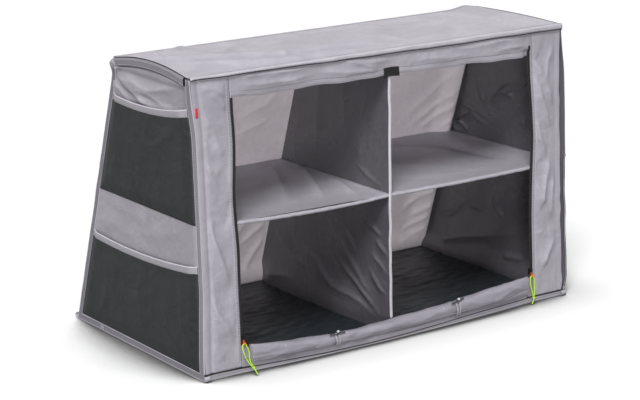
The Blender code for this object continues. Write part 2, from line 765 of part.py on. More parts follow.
def make_shelf(side_name, side, finish):
    inner_x = side * DIVIDER_X + CLOTH / 2 + GAP
    panel_x = SIDE_INNER - GAP
    upright_x = CORNER_X - TUBE_R - LOOSE
    hem_front = front_y(SHELF_Z) + DIVIDER_BINDING_THICK + 3 * GAP
    hem_y = hem_front + SHELF_HEM_R
    rear = rear_y(SHELF_Z) - CLOTH / math.cos(REAR_LEAN) - GAP - CLOTH * math.tan(REAR_LEAN)
    clear = CORNER_INSET + TUBE_R + LOOSE
    front_notch = front_y(SHELF_Z) + clear / math.cos(FRONT_LEAN)
    rear_notch = rear_y(SHELF_Z) - clear / math.cos(REAR_LEAN) - CLOTH
    rows = [(rear, upright_x), (rear_notch, upright_x), (rear_notch - GAP, panel_x)]
    rows += [(y, panel_x) for y in spread(rear_notch - GAP, front_notch + GAP, 8)[1:]]
    rows += [(front_notch, upright_x), (hem_y, upright_x)]
    curl = [math.radians(a) for a in range(130, 411, 40)]
    count = len(rows)
    front_sag = SHELF_FRONT_SAG[side_name]

    def place(across, step, face):
        y, outer_x = rows[min(step, count - 1)]
        deep = (y - hem_y) / (rear - hem_y)
        sag = bump(across) * (front_sag * (1 - deep) + SHELF_SAG * bump(deep))
        x = side * (inner_x + across * (outer_x - inner_x))
        z = SHELF_Z - sag
        if step < count:
            return Vector((x, y, z - face * CLOTH))
        angle = curl[step - count]
        radius = SHELF_HEM_R - face * CLOTH
        centre_z = z - SHELF_HEM_R
        return Vector((x, hem_y + radius * math.cos(angle), centre_z + radius * math.sin(angle)))

    steps = range(count + len(curl))
    solid_sheet(side_name + "_shelf_panel", spread(0, 1, 10), steps, place, finish)


def make_tab(finish):
    bottom = header_bottom(DIVIDER_X) - TAB_BELOW_HEM
    left = DIVIDER_X + TAB_OFFSET_X - TAB_WIDTH / 2
    strip = []
    for z in (bottom, bottom + TAB_HEIGHT):
        far = front_y(z) - GAP
        near = far - CLOTH
        strip.append([
            Vector((left, near, z)), Vector((left + TAB_WIDTH, near, z)),
            Vector((left + TAB_WIDTH, far, z)), Vector((left, far, z)),
        ])
    solid_loft("header_tab", strip, finish)


def make_tag(finish):
    outer = -(HALF_WIDTH - TAG_FROM_SIDE + TAG_WIDTH / 2)
    strip = []
    for z in (TAG_Z - TAG_HEIGHT / 2, TAG_Z + TAG_HEIGHT / 2):
        far = front_y(z) - GAP
        near = far - TAG_THICK
        strip.append([
            Vector((outer, near, z)), Vector((outer + TAG_WIDTH, near, z)),
            Vector((outer + TAG_WIDTH, far, z)), Vector((outer, far, z)),
        ])
    solid_loft("seam_tag", strip, finish)


# Rolled door and its ties

def roll_top_z(x):
    if x < ROLL_LOW_X:
        far = (ROLL_LOW_X - x) / (ROLL_LOW_X + ROLL_END_X)
        return ROLL_TOP_LOW + (ROLL_TOP_LEFT - ROLL_TOP_LOW) * far ** 1.5
    far = (x - ROLL_LOW_X) / (ROLL_END_X - ROLL_LOW_X)
    return ROLL_TOP_LOW + (ROLL_TOP_RIGHT - ROLL_TOP_LOW) * far ** 1.5


def roll_half_depth(x):
    far = abs(x) / ROLL_END_X
    return ROLL_DEPTH_MIDDLE + (ROLL_DEPTH_END - ROLL_DEPTH_MIDDLE) * smooth((far - 0.75) / 0.25)


def roll_centre_y(x):
    return front_y(SILL_HEIGHT) - 0.6 * sill_bulge(x) - 0.001


def roll_wrinkle(x, angle):
    near_tie = min(abs(x - tie) for tie in TOGGLE_XS.values())
    window = smooth((near_tie - TIE_WIDTH) / 0.02)
    return ROLL_FOLD * window * math.sin(52 * x + 2 * angle) * math.sin(23 * x - angle)


def roll_point(x, angle, out=0.0):
    # Angle 0 looks forward (-Y), 90 degrees looks up
    low = SILL_HEIGHT + GAP + ROLL_FOLD
    high = roll_top_z(x)
    half_height = (high - low) / 2
    half_depth = roll_half_depth(x)
    swell = roll_wrinkle(x, angle) + out
    forward = math.cos(angle)
    upward = math.sin(angle)
    reach = (abs(forward) ** 2.4 + abs(upward) ** 2.4) ** (-1 / 2.4)
    y = roll_centre_y(x) - (half_depth + swell) * reach * forward
    z = (low + high) / 2 + (half_height + swell) * reach * upward
    return Vector((x, y, z))


def make_roll(finish):
    rings = []
    for i in range(ROLL_STATIONS + 1):
        x = -ROLL_END_X + 2 * ROLL_END_X * i / ROLL_STATIONS
        end = min(i, ROLL_STATIONS - i)
        shrink = {0: -0.0035, 1: -0.0006}.get(end, 0.0)
        rings.append([
            roll_point(x, math.tau * k / ROLL_SIDES, shrink) for k in range(ROLL_SIDES)
        ])
    solid_loft("door_roll", rings, finish, 60)


def toggle_seat(name):
    # The point on the tie's outer face where the toggle sits, and the way it faces
    x = TOGGLE_XS[name]
    step = math.tau / ROLL_SIDES
    low = roll_point(x, step * (TIE_STEPS[1] - 2), LOOSE + TIE_THICK)
    high = roll_point(x, step * (TIE_STEPS[1] - 1), LOOSE + TIE_THICK)
    along = (high - low).normalized()
    return (low + high) / 2, Vector((0, -along.z, along.y)).normalized()


def make_tie(name, finish):
    x_middle = TOGGLE_XS[name]

    def place(across, step, face):
        x = x_middle + across * TIE_WIDTH
        angle = math.tau * step / ROLL_SIDES
        return roll_point(x, angle, LOOSE + (1 - face) * TIE_THICK)

    steps = range(TIE_STEPS[0], TIE_STEPS[1] + 1)
    tie = solid_sheet(name + "_tie", (-0.5, -0.25, 0, 0.25, 0.5), steps, place, finish)
    seat, outward = toggle_seat(name)
    knot = seat + outward * (2 * TOGGLE_HUB_R + LOOSE + GAP + TIE_KNOT_R)
    combine(tie, rod("post", seat - outward * TIE_THICK / 2, knot, TIE_POST_R, finish, 12), "UNION")
    combine(tie, ball("knot", knot, TIE_KNOT_R, finish), "UNION")


def toggle_axis_point(name):
    seat, outward = toggle_seat(name)
    return seat + outward * (TOGGLE_HUB_R + LOOSE)


def make_toggle(name, finish):
    centre = toggle_axis_point(name)
    outward = toggle_seat(name)[1]
    tilt = math.radians(TOGGLE_TILTS[name])
    along = Vector((1, 0, 0)) * math.cos(tilt) + Vector((1, 0, 0)).cross(outward) * math.sin(tilt)
    half = TOGGLE_LENGTH / 2
    hub = TOGGLE_HUB_LENGTH / 2
    profile = [
        (-half, 0.6 * TOGGLE_R), (-half + 0.001, TOGGLE_R), (-hub - 0.002, TOGGLE_R), (-hub, TOGGLE_HUB_R),
        (hub, TOGGLE_HUB_R), (hub + 0.002, TOGGLE_R), (half - 0.001, TOGGLE_R), (half, 0.6 * TOGGLE_R),
    ]
    rings = [ring_about(centre + along * far, along, radius, 14) for far, radius in profile]
    bar = solid_loft(name + "_toggle", rings, finish)
    reach = outward * 2 * TOGGLE_HUB_R
    combine(bar, rod("hole", centre - reach, centre + reach, TOGGLE_HOLE_R, finish, 12), "DIFFERENCE")
    set_origin(bar, centre)


# Zips

def zip_point(side, out_x, up, forward):
    # out_x from the coil's line away from the doorway, up the sloping front, forward from it
    slope = math.cos(FRONT_LEAN)
    rise = math.sin(FRONT_LEAN)
    y = front_y(0) + up * rise - forward * slope
    return Vector((side * (ZIP_X + out_x), y, up * slope + forward * rise))


TAPE_MIDDLE = -CLOTH / 2
WING_NEAR = TAPE_MIDDLE + COIL_HALF + COIL_ROOM
WING_FAR = WING_NEAR + WING_THICK
PULL_AXIS_OUT = WING_FAR + EYE_ROOM / 2
PULL_AXIS_UP = SLIDER_Z / math.cos(FRONT_LEAN) - EYE_LENGTH / 2 + EYE_WIRE + PULL_BAR_R + LOOSE


def make_zip_tape(side_name, side, finish):
    half_tape = TAPE_THICK / 2
    profile = [
        (-COIL_HALF, -COIL_HALF / 2), (-COIL_HALF / 2, -COIL_HALF), (COIL_HALF / 2, -COIL_HALF),
        (COIL_HALF, -half_tape), (TAPE_WIDTH - COIL_HALF, -half_tape),
        (TAPE_WIDTH - COIL_HALF, half_tape), (COIL_HALF, half_tape), (COIL_HALF / 2, COIL_HALF),
        (-COIL_HALF / 2, COIL_HALF), (-COIL_HALF, COIL_HALF / 2),
    ]
    bottom = SLIDER_Z - SLIDER_LENGTH / 2 - TAPE_BELOW_SLIDER
    top = header_bottom(JAMB_INNER_X) - 2 * GAP
    rings = []
    for z in (bottom, top):
        up = z / math.cos(FRONT_LEAN)
        rings.append([zip_point(side, x, up, TAPE_MIDDLE + out) for x, out in profile])
    solid_loft(side_name + "_zip_tape", rings, finish)


def zip_block(side, xs, ups, outs, finish):
    corners = [(xs[0], ups[0]), (xs[1], ups[0]), (xs[1], ups[1]), (xs[0], ups[1])]
    rings = [[zip_point(side, x, up, out) for x, up in corners] for out in outs]
    return solid_loft("block", rings, finish)


def make_slider(side_name, side, finish):
    middle = SLIDER_Z / math.cos(FRONT_LEAN)
    ups = (middle - SLIDER_LENGTH / 2, middle + SLIDER_LENGTH / 2)
    inner = -COIL_HALF - COIL_ROOM - SLIDER_POST - SLIDER_POST_INSET
    xs = (inner, inner + SLIDER_WIDTH)
    slider = zip_block(side, xs, ups, (WING_NEAR, WING_FAR), finish)
    slider.name = side_name + "_zip_slider"
    back_far = 2 * TAPE_MIDDLE - WING_FAR
    back_near = 2 * TAPE_MIDDLE - WING_NEAR
    combine(slider, zip_block(side, xs, ups, (back_far, back_near), finish), "UNION")
    post_xs = (inner + SLIDER_POST_INSET, -COIL_HALF - COIL_ROOM)
    post_ups = (middle, middle + SLIDER_LENGTH / 2 - 0.001)
    overlap = WING_THICK / 2
    post_outs = (back_near - overlap, WING_NEAR + overlap)
    combine(slider, zip_block(side, post_xs, post_ups, post_outs, finish), "UNION")
    eye_far = WING_FAR + EYE_ROOM + EYE_WIRE
    eye_xs = (-EYE_WIRE / 2, EYE_WIRE / 2)
    eye_low = middle - EYE_LENGTH / 2
    eye_high = middle + EYE_LENGTH / 2
    for low, high, start in (
        (eye_low, eye_low + EYE_WIRE, WING_FAR - overlap),
        (eye_high - EYE_WIRE, eye_high, WING_FAR - overlap),
        (eye_low, eye_high, WING_FAR + EYE_ROOM),
    ):
        combine(slider, zip_block(side, eye_xs, (low, high), (start, eye_far), finish), "UNION")
    set_origin(slider, zip_point(side, 0, middle, TAPE_MIDDLE))


def make_puller(side_name, side, finish):
    leg_inner = EYE_WIRE / 2 + PULL_LEG_ROOM
    leg_outer = leg_inner + PULL_LEG
    start = zip_point(side, -leg_outer, PULL_AXIS_UP, PULL_AXIS_OUT)
    end = zip_point(side, leg_outer, PULL_AXIS_UP, PULL_AXIS_OUT)
    puller = rod(side_name + "_puller", start, end, PULL_BAR_R, finish, 12)
    barrel_up = PULL_AXIS_UP - BARREL_DROP
    barrel_out = PULL_AXIS_OUT + BARREL_OUT
    for sign in (-1, 1):
        xs = sorted((sign * leg_inner, sign * leg_outer))
        outs = (PULL_AXIS_OUT - 0.9 * PULL_BAR_R, PULL_AXIS_OUT + 0.9 * PULL_BAR_R)
        ups = (barrel_up + BARREL_BORE_R + 0.0004, PULL_AXIS_UP)
        combine(puller, zip_block(side, xs, ups, outs, finish), "UNION")
    half = BARREL_WIDTH / 2
    ends = [zip_point(side, x, barrel_up, barrel_out) for x in (-half, half)]
    combine(puller, rod("barrel", *ends, BARREL_R, finish), "UNION")
    ends = [zip_point(side, x, barrel_up, barrel_out) for x in (-2 * half, 2 * half)]
    combine(puller, rod("bore", *ends, BARREL_BORE_R, finish), "DIFFERENCE")
    set_origin(puller, zip_point(side, 0, PULL_AXIS_UP, PULL_AXIS_OUT))


def cord_point(side, place):
    x, forward, z = place
    return Vector((side * ZIP_X + x, front_y(z) - forward, z))


def make_pull_cord(side_name, side, finish):
    route = [cord_point(side, place) for place in CORD_ROUTES[side_name]]
    curve = bpy.data.curves.new(side_name + "_pull_cord", "CURVE")
    curve.dimensions = "3D"
    points = smooth_route(route, 3 * CORD_R)
    spline = curve.splines.new("POLY")
    spline.points.add(len(points) - 1)
    for held, point in zip(spline.points, points):
        held.co = (*point, 1)
    curve.bevel_depth = CORD_R
    curve.bevel_resolution = 2
    curve.use_fill_caps = True
    curve.materials.append(finish)
    made = bpy.data.objects.new(side_name + "_pull_cord", curve)
    bpy.context.collection.objects.link(made)


def make_pull_knot(side_name, side, finish):
    knot = ball(side_name + "_pull_knot", cord_point(side, KNOT_PLACES[side_name]), KNOT_R, finish)
    route = [cord_point(side, place) for place in TAIL_ROUTES[side_name]]
    tail = bent_rod("tail", smooth_route(route, 3 * CORD_R), CORD_R, finish, 8)
    combine(knot, tail, "UNION")


def make_cupboard():
    for old in list(bpy.data.objects):
        bpy.data.objects.remove(old)
    finishes = make_materials()
    make_frame(finishes)
    make_roof(finishes["cover"])
    make_back(finishes["back"])
    make_floor(finishes["ground"])
    make_header(finishes["cover"])
    make_sill(finishes["webbing"])
    make_roll(finishes["cover"])
    make_divider(finishes["dark"], finishes["pale"])
    make_tab(finishes["black"])
    make_tag(finishes["tag"])
    for side_name, side in SIDES.items():
        make_side(side_name, side, finishes["cover"])
        make_side_binding(side_name, side, finishes["webbing"])
        make_sleeve(side_name, side, finishes["webbing"])
        make_jamb(side_name, side, finishes["cover"])
        make_shelf(side_name, side, finishes["cover"])
        make_zip_tape(side_name, side, finishes["zip"])
        make_slider(side_name, side, finishes["slider"])
        make_puller(side_name, side, finishes["orange"])
        make_pull_cord(side_name, side, finishes["lime"])
        make_pull_knot(side_name, side, finishes["lime"])
        make_tie(side_name, finishes["webbing"])
        make_toggle(side_name, finishes["toggle"])
        for level in POCKETS:
            make_pocket(side_name, side, level, finishes["black"])


def print_joints():
    # Joint places and travel, for whoever assembles the model
    top = header_bottom(JAMB_INNER_X) - 2 * GAP
    travel = (top - SLIDER_LENGTH / 2 - SLIDER_Z - GAP) / math.cos(FRONT_LEAN)
    up = zip_point(1, 0, 1, 0) - zip_point(1, 0, 0, 0)
    print("zip direction", tuple(round(v, 5) for v in up), "travel", round(travel, 4))
    for side_name, side in SIDES.items():
        hinge = zip_point(side, 0, PULL_AXIS_UP, PULL_AXIS_OUT)
        seat, outward = toggle_seat(side_name)
        print(side_name, "puller hinge", tuple(round(v, 5) for v in hinge))
        print(side_name, "toggle axis", tuple(round(v, 5) for v in toggle_axis_point(side_name)),
              tuple(round(v, 5) for v in outward))


make_cupboard()
print_joints()
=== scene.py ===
import math

import bmesh
import bpy
import numpy as np
from mathutils import Matrix, Vector


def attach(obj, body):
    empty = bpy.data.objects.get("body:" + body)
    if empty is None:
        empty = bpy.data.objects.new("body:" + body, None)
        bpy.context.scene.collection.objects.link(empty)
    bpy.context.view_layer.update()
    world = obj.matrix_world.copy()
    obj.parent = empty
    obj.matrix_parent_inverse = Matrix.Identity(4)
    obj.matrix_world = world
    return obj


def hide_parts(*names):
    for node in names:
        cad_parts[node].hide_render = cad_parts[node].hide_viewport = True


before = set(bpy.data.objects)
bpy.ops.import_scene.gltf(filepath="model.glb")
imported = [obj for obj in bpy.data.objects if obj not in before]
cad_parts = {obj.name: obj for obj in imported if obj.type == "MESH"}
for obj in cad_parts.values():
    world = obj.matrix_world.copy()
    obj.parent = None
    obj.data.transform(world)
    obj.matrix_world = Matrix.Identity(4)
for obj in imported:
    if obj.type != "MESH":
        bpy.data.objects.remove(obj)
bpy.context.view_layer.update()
print("frame loaded:", len(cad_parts), "nodes")

# The cupboard's own shape: metres, front towards -Y, origin on the ground under the middle
cupboard = {
    "width": 1.000, "depth": 0.536, "height": 0.64,
    "frontSetback": 0.03, "rearSetback": 0.21,
    "rise": {-1: 0.014, 1: 0.003},           # how far the left and right springy bar bow upwards
    "zipX": 0.399, "sillBulge": 0.016,
    "doorTop": 0.588, "socket": 0.022,       # lower edge of the header, depth of a fitting's socket
}
halfWidth = cupboard["width"] / 2
sideFace = 0.4985          # outer face of the side cloth, under the binding
postX = 0.4875             # middle of the uprights
postInset = 0.011         # middle of a rail or upright behind the front cloth
rearInset = 0.0116         # and before the rear cloth
topRailZ = 0.629          # middle of the top rails
sideTopZ = 0.6179          # where the side cloth ends under the roof
coverTopZ = 0.6382         # where the front and rear cloths end under the roof
jambInner = 0.405         # inner edge of each jamb
dividerX = -0.005          # foot of the divider's front edge
shelfZ = 0.3215            # height of the shelves' hems
sides = {"left": -1, "right": 1}


def frontY(z):
    return -cupboard["depth"] / 2 + cupboard["frontSetback"] * z / cupboard["height"]


def rearY(z):
    return cupboard["depth"] / 2 - cupboard["rearSetback"] * z / cupboard["height"]


def smooth(t):
    t = np.clip(t, 0, 1)
    return t * t * (3 - 2 * t)


def arch(t):
    return np.where((t > 0) & (t < 1), 4 * t * (1 - t), 0.0)


def fadeEnds(t, rate):
    # Full in the middle of a share, nothing at both of its ends
    return smooth(t * rate) * smooth((1 - t) * rate)


def hill(t, middle, wide):
    # A smooth rise and fall, 1 at its middle
    return np.exp(-((t - middle) / wide) ** 2)


def barRise(y, side):
    # Height of a springy bar above its corner fittings
    rise = cupboard["rise"][side]
    front = frontY(topRailZ) + postInset
    rear = rearY(topRailZ) - rearInset
    slope = 4 * rise / (rear - front + 2 * cupboard["socket"])
    straight = cupboard["socket"] * math.cos(math.atan(slope))
    along = np.clip(np.minimum(y - front, rear - y), 0, None)
    past = np.clip(along - straight, 0, None)
    span = rear - front - 2 * straight
    return np.where(along <= straight, slope * along, slope * (straight + past * (1 - past / span)))


# The front corners: how far the seam is drawn in, how far webbing and pockets slip forward with
# it, and how far the webbing stands out from the corner
corners = {
    -1: {"seam": 0.0128, "slip": 0.0098, "flange": 0.0},
    1: {"seam": 0.006, "slip": 0.0, "flange": 0.0145},
}
seamAtFoot = 0.3           # share of the drawing in that is left at the ground
cornerReach = 0.018        # how far behind the front the side begins to turn in


def seamIn(z, side):
    nearTop = smooth((cupboard["height"] - z) / 0.13)
    return corners[side]["seam"] * nearTop * (seamAtFoot + (1 - seamAtFoot) * smooth(z / 0.2))


def seamSlip(z, side):
    drawn = seamIn(z, side) / corners[side]["seam"]
    return corners[side]["slip"] * np.clip(drawn - seamAtFoot, 0, None) / (1 - seamAtFoot)


def cornerDrop(y, z, side):
    # How far the side turns inwards near the front corner, on nearly a quarter of an ellipse
    near = np.clip(1 - (y - frontY(z)) / cornerReach, 0, 1)
    return seamIn(z, side) * (1 - np.sqrt(1 - 0.97 * near ** 2))


# The zip tape weaves a little between its two straight ends, where the slider rests
zips = {
    "tape": 0.0068, "inward": 0.0016, "low": 0.0636, "behind": 0.00075,
    "end": {"low": 0.5876, "high": 0.0134, "inner": 0.3992, "wide": 0.0052, "out": 0.0033},
    "wave": {   # z, and how far it lies outside the straight line
        -1: [(0.12, 0), (0.2, 0.0004), (0.27, -0.001), (0.33, 0.0026), (0.385, 0.0042), (0.43, 0.0006),
             (0.49, -0.0024), (0.53, -0.0016), (0.56, 0)],
        1: [(0.12, 0), (0.2, -0.0008), (0.28, 0.002), (0.33, 0.005), (0.38, 0.008), (0.43, 0.0072),
            (0.48, 0.004), (0.52, 0.0012), (0.56, 0)],
    },
}


def zipWave(z, side):
    table = np.array(zips["wave"][side])
    spread = sum(np.interp(z + step, table[:, 0], table[:, 1]) for step in (-0.018, -0.006, 0.006, 0.018))
    return spread / 4 * smooth((z - 0.1) / 0.04) * smooth((0.57 - z) / 0.03)


def sillBulge(x):
    zipX = cupboard["zipX"]
    return cupboard["sillBulge"] * arch((x + zipX) / (2 * zipX))


# The line where the front cloth ends above the base webbing, as x and z
baseLine = np.array([
    (-0.5, 0.0135), (-0.455, 0.0135), (-0.385, 0.0105), (-0.3, 0.0085), (-0.198, 0.0055),
    (-0.092, 0.0045), (0.006, 0.0055), (0.128, 0.009), (0.231, 0.012), (0.38, 0.013),
    (0.47, 0.012), (0.5, 0.012),
])


def baseLineZ(x):
    return np.interp(x, baseLine[:, 0], baseLine[:, 1])


def headerHem(x):
    # Lower edge of the header: it sags a little and drops to the right
    sag = 0.004 * arch((x + jambInner) / (2 * jambInner))
    return cupboard["doorTop"] - sag - 0.01 * smooth((x - 0.05) / 0.33)


# Folds: how far a cloth stands out at each place, in metres

crestSharpness = 1.2       # 2 would be a round ridge, 1 a knife edge


def ridge(u, v, points, wideLeft, wideRight):
    # How high a fold along a line of points stands at each place, from 0 to 1
    best = np.full(u.shape, 1e9)
    side = np.zeros(u.shape)
    along = np.zeros(u.shape)
    lengths = [math.dist(a, b) for a, b in zip(points, points[1:])]
    done = 0.0
    for (a, b), length in zip(zip(points, points[1:]), lengths):
        du, dv = b[0] - a[0], b[1] - a[1]
        t = np.clip(((u - a[0]) * du + (v - a[1]) * dv) / length ** 2, 0, 1)
        offU = u - a[0] - t * du
        offV = v - a[1] - t * dv
        far = np.hypot(offU, offV)
        near = far < best
        best = np.where(near, far, best)
        side = np.where(near, du * offV - dv * offU, side)
        along = np.where(near, (done + t * length) / sum(lengths), along)
        done += length
    wide = np.where(side > 0, wideLeft, wideRight)
    return np.exp(-(best / wide) ** crestSharpness) * fadeEnds(along, 3)


def folds(u, v, lines):
    # Each line, in millimetres: its points, its height, and how wide it is to the left and right of
    # the way it runs
    height = np.zeros(u.shape)
    for points, rise, wideLeft, wideRight in lines:
        points = [(a / 1000, b / 1000) for a, b in points]
        height += rise / 1000 * ridge(u, v, points, wideLeft / 1000, wideRight / 1000)
    return height


def crumple(u, v, seed, count, rise, length=(0.03, 0.1), wide=(0.004, 0.009), lean=None, spread=1.6):
    # Small random creases all over a cloth: how many, how high, how long, how wide, the way that they
    # run (any way without a lean) and how much that varies
    rng = np.random.default_rng(seed)
    height = np.zeros(u.shape)
    lowU, highU, lowV, highV = u.min(), u.max(), v.min(), v.max()
    for _ in range(count):
        middleU = rng.uniform(lowU, highU)
        middleV = rng.uniform(lowV, highV)
        angle = (rng.uniform(0, math.pi) if lean is None else lean + rng.normal() * spread * 0.3)
        half = rng.uniform(*length) / 2
        bend = rng.normal() * 0.15 * half
        stepU, stepV = half * math.cos(angle), half * math.sin(angle)
        points = [
            (middleU - stepU, middleV - stepV),
            (middleU - bend * math.sin(angle), middleV + bend * math.cos(angle)),
            (middleU + stepU, middleV + stepV),
        ]
        thin = rng.uniform(*wide)
        sign = 1 if rng.random() < 0.65 else -0.8
        height += sign * rise * rng.uniform(0.4, 1) * ridge(u, v, points, thin, thin * rng.uniform(1, 2.2))
    return height


def ripple(u, v, seed, wave, angle, spread=0.4, terms=5):
    # Soft waves of one length that mostly run one way, from -1 to 1 or so
    rng = np.random.default_rng(seed)
    total = np.zeros(u.shape)
    warp = 0.2 * wave * np.sin(2 * math.pi * (u + 0.7 * v) / (3.1 * wave) + rng.uniform(0, 6))
    for _ in range(terms):
        turn = angle + rng.normal() * spread
        size = wave * rng.uniform(0.6, 1.7)
        phase = rng.uniform(0, 2 * math.pi)
        total += np.sin(2 * math.pi * (u * math.cos(turn) + v * math.sin(turn) + warp) / size + phase)
    return total / terms ** 0.5 / 1.3


# Colours and materials

def colour(hexText):
    channels = [int(hexText[i:i + 2], 16) / 255 for i in (1, 3, 5)]
    linear = [c / 12.92 if c <= 0.04045 else ((c + 0.055) / 1.055) ** 2.4 for c in channels]
    return (*linear, 1.0)


def addNode(tree, kind, links=None, **settings):
    node = tree.nodes.new(kind)
    for key, value in settings.items():
        setattr(node, key, value)
    for key, value in (links or {}).items():
        if isinstance(value, bpy.types.NodeSocket):
            tree.links.new(value, node.inputs[key])
        else:
            node.inputs[key].default_value = value
    return node


def startMaterial(name, roughness, metallic=0.0, sheen=0.0):
    made = bpy.data.materials.new(name)
    made.use_nodes = True
    tree = made.node_tree
    shader = tree.nodes["Principled BSDF"]
    shader.inputs["Roughness"].default_value = roughness
    shader.inputs["Metallic"].default_value = metallic
    shader.inputs["Sheen Weight"].default_value = sheen
    return made, tree, shader


waveRepeat = 0.314         # a wave texture of scale 1 repeats after this many metres


def wovenCloth(name, look):
    # Fabric on a UV map in metres: threads, crinkle, soft blotches and a little variation of gloss
    made, tree, shader = startMaterial(name, look["roughness"], 0.0, look["sheen"])
    shader.inputs["Specular IOR Level"].default_value = look["gloss"]
    place = addNode(tree, "ShaderNodeTexCoord")
    uv = place.outputs["UV"]
    bands = waveRepeat / look["thread"]
    warp = addNode(tree, "ShaderNodeTexWave", {"Vector": uv, "Scale": bands}, bands_direction="X")
    weft = addNode(tree, "ShaderNodeTexWave", {"Vector": uv, "Scale": bands}, bands_direction="Y")
    weave = addNode(tree, "ShaderNodeMath", {0: warp.outputs["Fac"], 1: weft.outputs["Fac"]},
                    operation="MULTIPLY")
    crinkle = addNode(tree, "ShaderNodeTexNoise",
                      {"Vector": uv, "Scale": 1 / look["crinkle"], "Detail": 5.0, "Roughness": 0.6,
                       "Distortion": 0.6})
    dent = addNode(tree, "ShaderNodeTexNoise",
                   {"Vector": uv, "Scale": 1 / look["dent"], "Detail": 2.0, "Distortion": 1.2})
    height = addNode(tree, "ShaderNodeMath",
                     {0: weave.outputs[0], 1: look["weaveHeight"], 2: crinkle.outputs["Fac"]},
                     operation="MULTIPLY_ADD")
    height = addNode(tree, "ShaderNodeMath",
                     {0: dent.outputs["Fac"], 1: look["dentHeight"], 2: height.outputs[0]},
                     operation="MULTIPLY_ADD")
    bump = addNode(tree, "ShaderNodeBump",
                   {"Height": height.outputs[0], "Strength": look["bump"], "Distance": 0.001})
    tree.links.new(bump.outputs["Normal"], shader.inputs["Normal"])
    blotch = addNode(tree, "ShaderNodeTexNoise",
                     {"Vector": place.outputs["Object"], "Scale": 1 / look["blotch"], "Detail": 3.0,
                      "Distortion": 0.8})
    patch = addNode(tree, "ShaderNodeMapRange", {0: blotch.outputs["Fac"], 1: 0.38, 2: 0.66})
    paint = addNode(tree, "ShaderNodeMix", {0: patch.outputs[0], 6: colour(look["hex"]),
                                            7: colour(look["blotchHex"])}, data_type="RGBA")
    fine = addNode(tree, "ShaderNodeMapRange",
                   {0: crinkle.outputs["Fac"], 1: 0.3, 2: 0.7, 4: look["speckle"]})
    paint = addNode(tree, "ShaderNodeMix", {0: fine.outputs[0], 6: paint.outputs[2],
                                            7: colour(look["speckleHex"])}, data_type="RGBA")
    if "dotHex" in look:
        # A faint scatter of small dots, one every 38 mm or so
        dots = addNode(tree, "ShaderNodeTexVoronoi", {"Vector": uv, "Scale": 26.0, "Randomness": 0.35})
        inside = addNode(tree, "ShaderNodeMapRange",
                         {0: dots.outputs["Distance"], 1: 0.055, 2: 0.075, 3: 0.3, 4: 0.0})
        paint = addNode(tree, "ShaderNodeMix", {0: inside.outputs[0], 6: paint.outputs[2],
                                                7: colour(look["dotHex"])}, data_type="RGBA")
    tree.links.new(paint.outputs[2], shader.inputs["Base Color"])
    gloss = addNode(tree, "ShaderNodeMapRange", {0: blotch.outputs["Fac"], 1: 0.3, 2: 0.7,
                                                 3: look["roughness"] - 0.06, 4: look["roughness"] + 0.07})
    tree.links.new(gloss.outputs[0], shader.inputs["Roughness"])
    return made


def stripedWebbing(name, look):
    # Woven tape with a paler thread along both edges; its UV map runs along u and across v
    made, tree, shader = startMaterial(name, look["roughness"], 0.0, look["sheen"])
    place = addNode(tree, "ShaderNodeTexCoord")
    split = addNode(tree, "ShaderNodeSeparateXYZ", {0: place.outputs["UV"]})
    fromMiddle = addNode(tree, "ShaderNodeMath", {0: split.outputs["Y"], 1: look["width"] / 2},
                         operation="SUBTRACT")
    fromMiddle = addNode(tree, "ShaderNodeMath", {0: fromMiddle.outputs[0]}, operation="ABSOLUTE")
    edge = look["width"] / 2 - look["edge"]
    inEdge = addNode(tree, "ShaderNodeMapRange",
                     {0: fromMiddle.outputs[0], 1: edge - 0.0004, 2: edge + 0.0004})
    ribs = addNode(tree, "ShaderNodeTexWave",
                   {"Vector": place.outputs["UV"], "Scale": waveRepeat / look["rib"], "Distortion": 1.2,
                    "Detail Scale": 3.0}, bands_direction="X")
    rows = addNode(tree, "ShaderNodeTexWave",
                   {"Vector": place.outputs["UV"], "Scale": waveRepeat / look["pick"]}, bands_direction="Y")
    wear = addNode(tree, "ShaderNodeTexNoise",
                   {"Vector": place.outputs["Object"], "Scale": 40.0, "Detail": 4.0})
    paint = addNode(tree, "ShaderNodeMix", {0: wear.outputs["Fac"], 6: colour(look["hex"]),
                                            7: colour(look["wornHex"])}, data_type="RGBA")
    onRib = addNode(tree, "ShaderNodeMapRange", {0: ribs.outputs["Fac"], 1: 0.2, 2: 0.9, 4: 0.45})
    paint = addNode(tree, "ShaderNodeMix", {0: onRib.outputs[0], 6: paint.outputs[2],
                                            7: colour(look["ribHex"])}, data_type="RGBA")
    paint = addNode(tree, "ShaderNodeMix", {0: inEdge.outputs[0], 6: paint.outputs[2],
                                            7: colour(look["edgeHex"])}, data_type="RGBA")
    tree.links.new(paint.outputs[2], shader.inputs["Base Color"])
    height = addNode(tree, "ShaderNodeMath", {0: ribs.outputs["Fac"], 1: rows.outputs["Fac"]},
                     operation="ADD")
    bump = addNode(tree, "ShaderNodeBump",
                   {"Height": height.outputs[0], "Strength": 0.5, "Distance": 0.0004})
    tree.links.new(bump.outputs["Normal"], shader.inputs["Normal"])
    return made


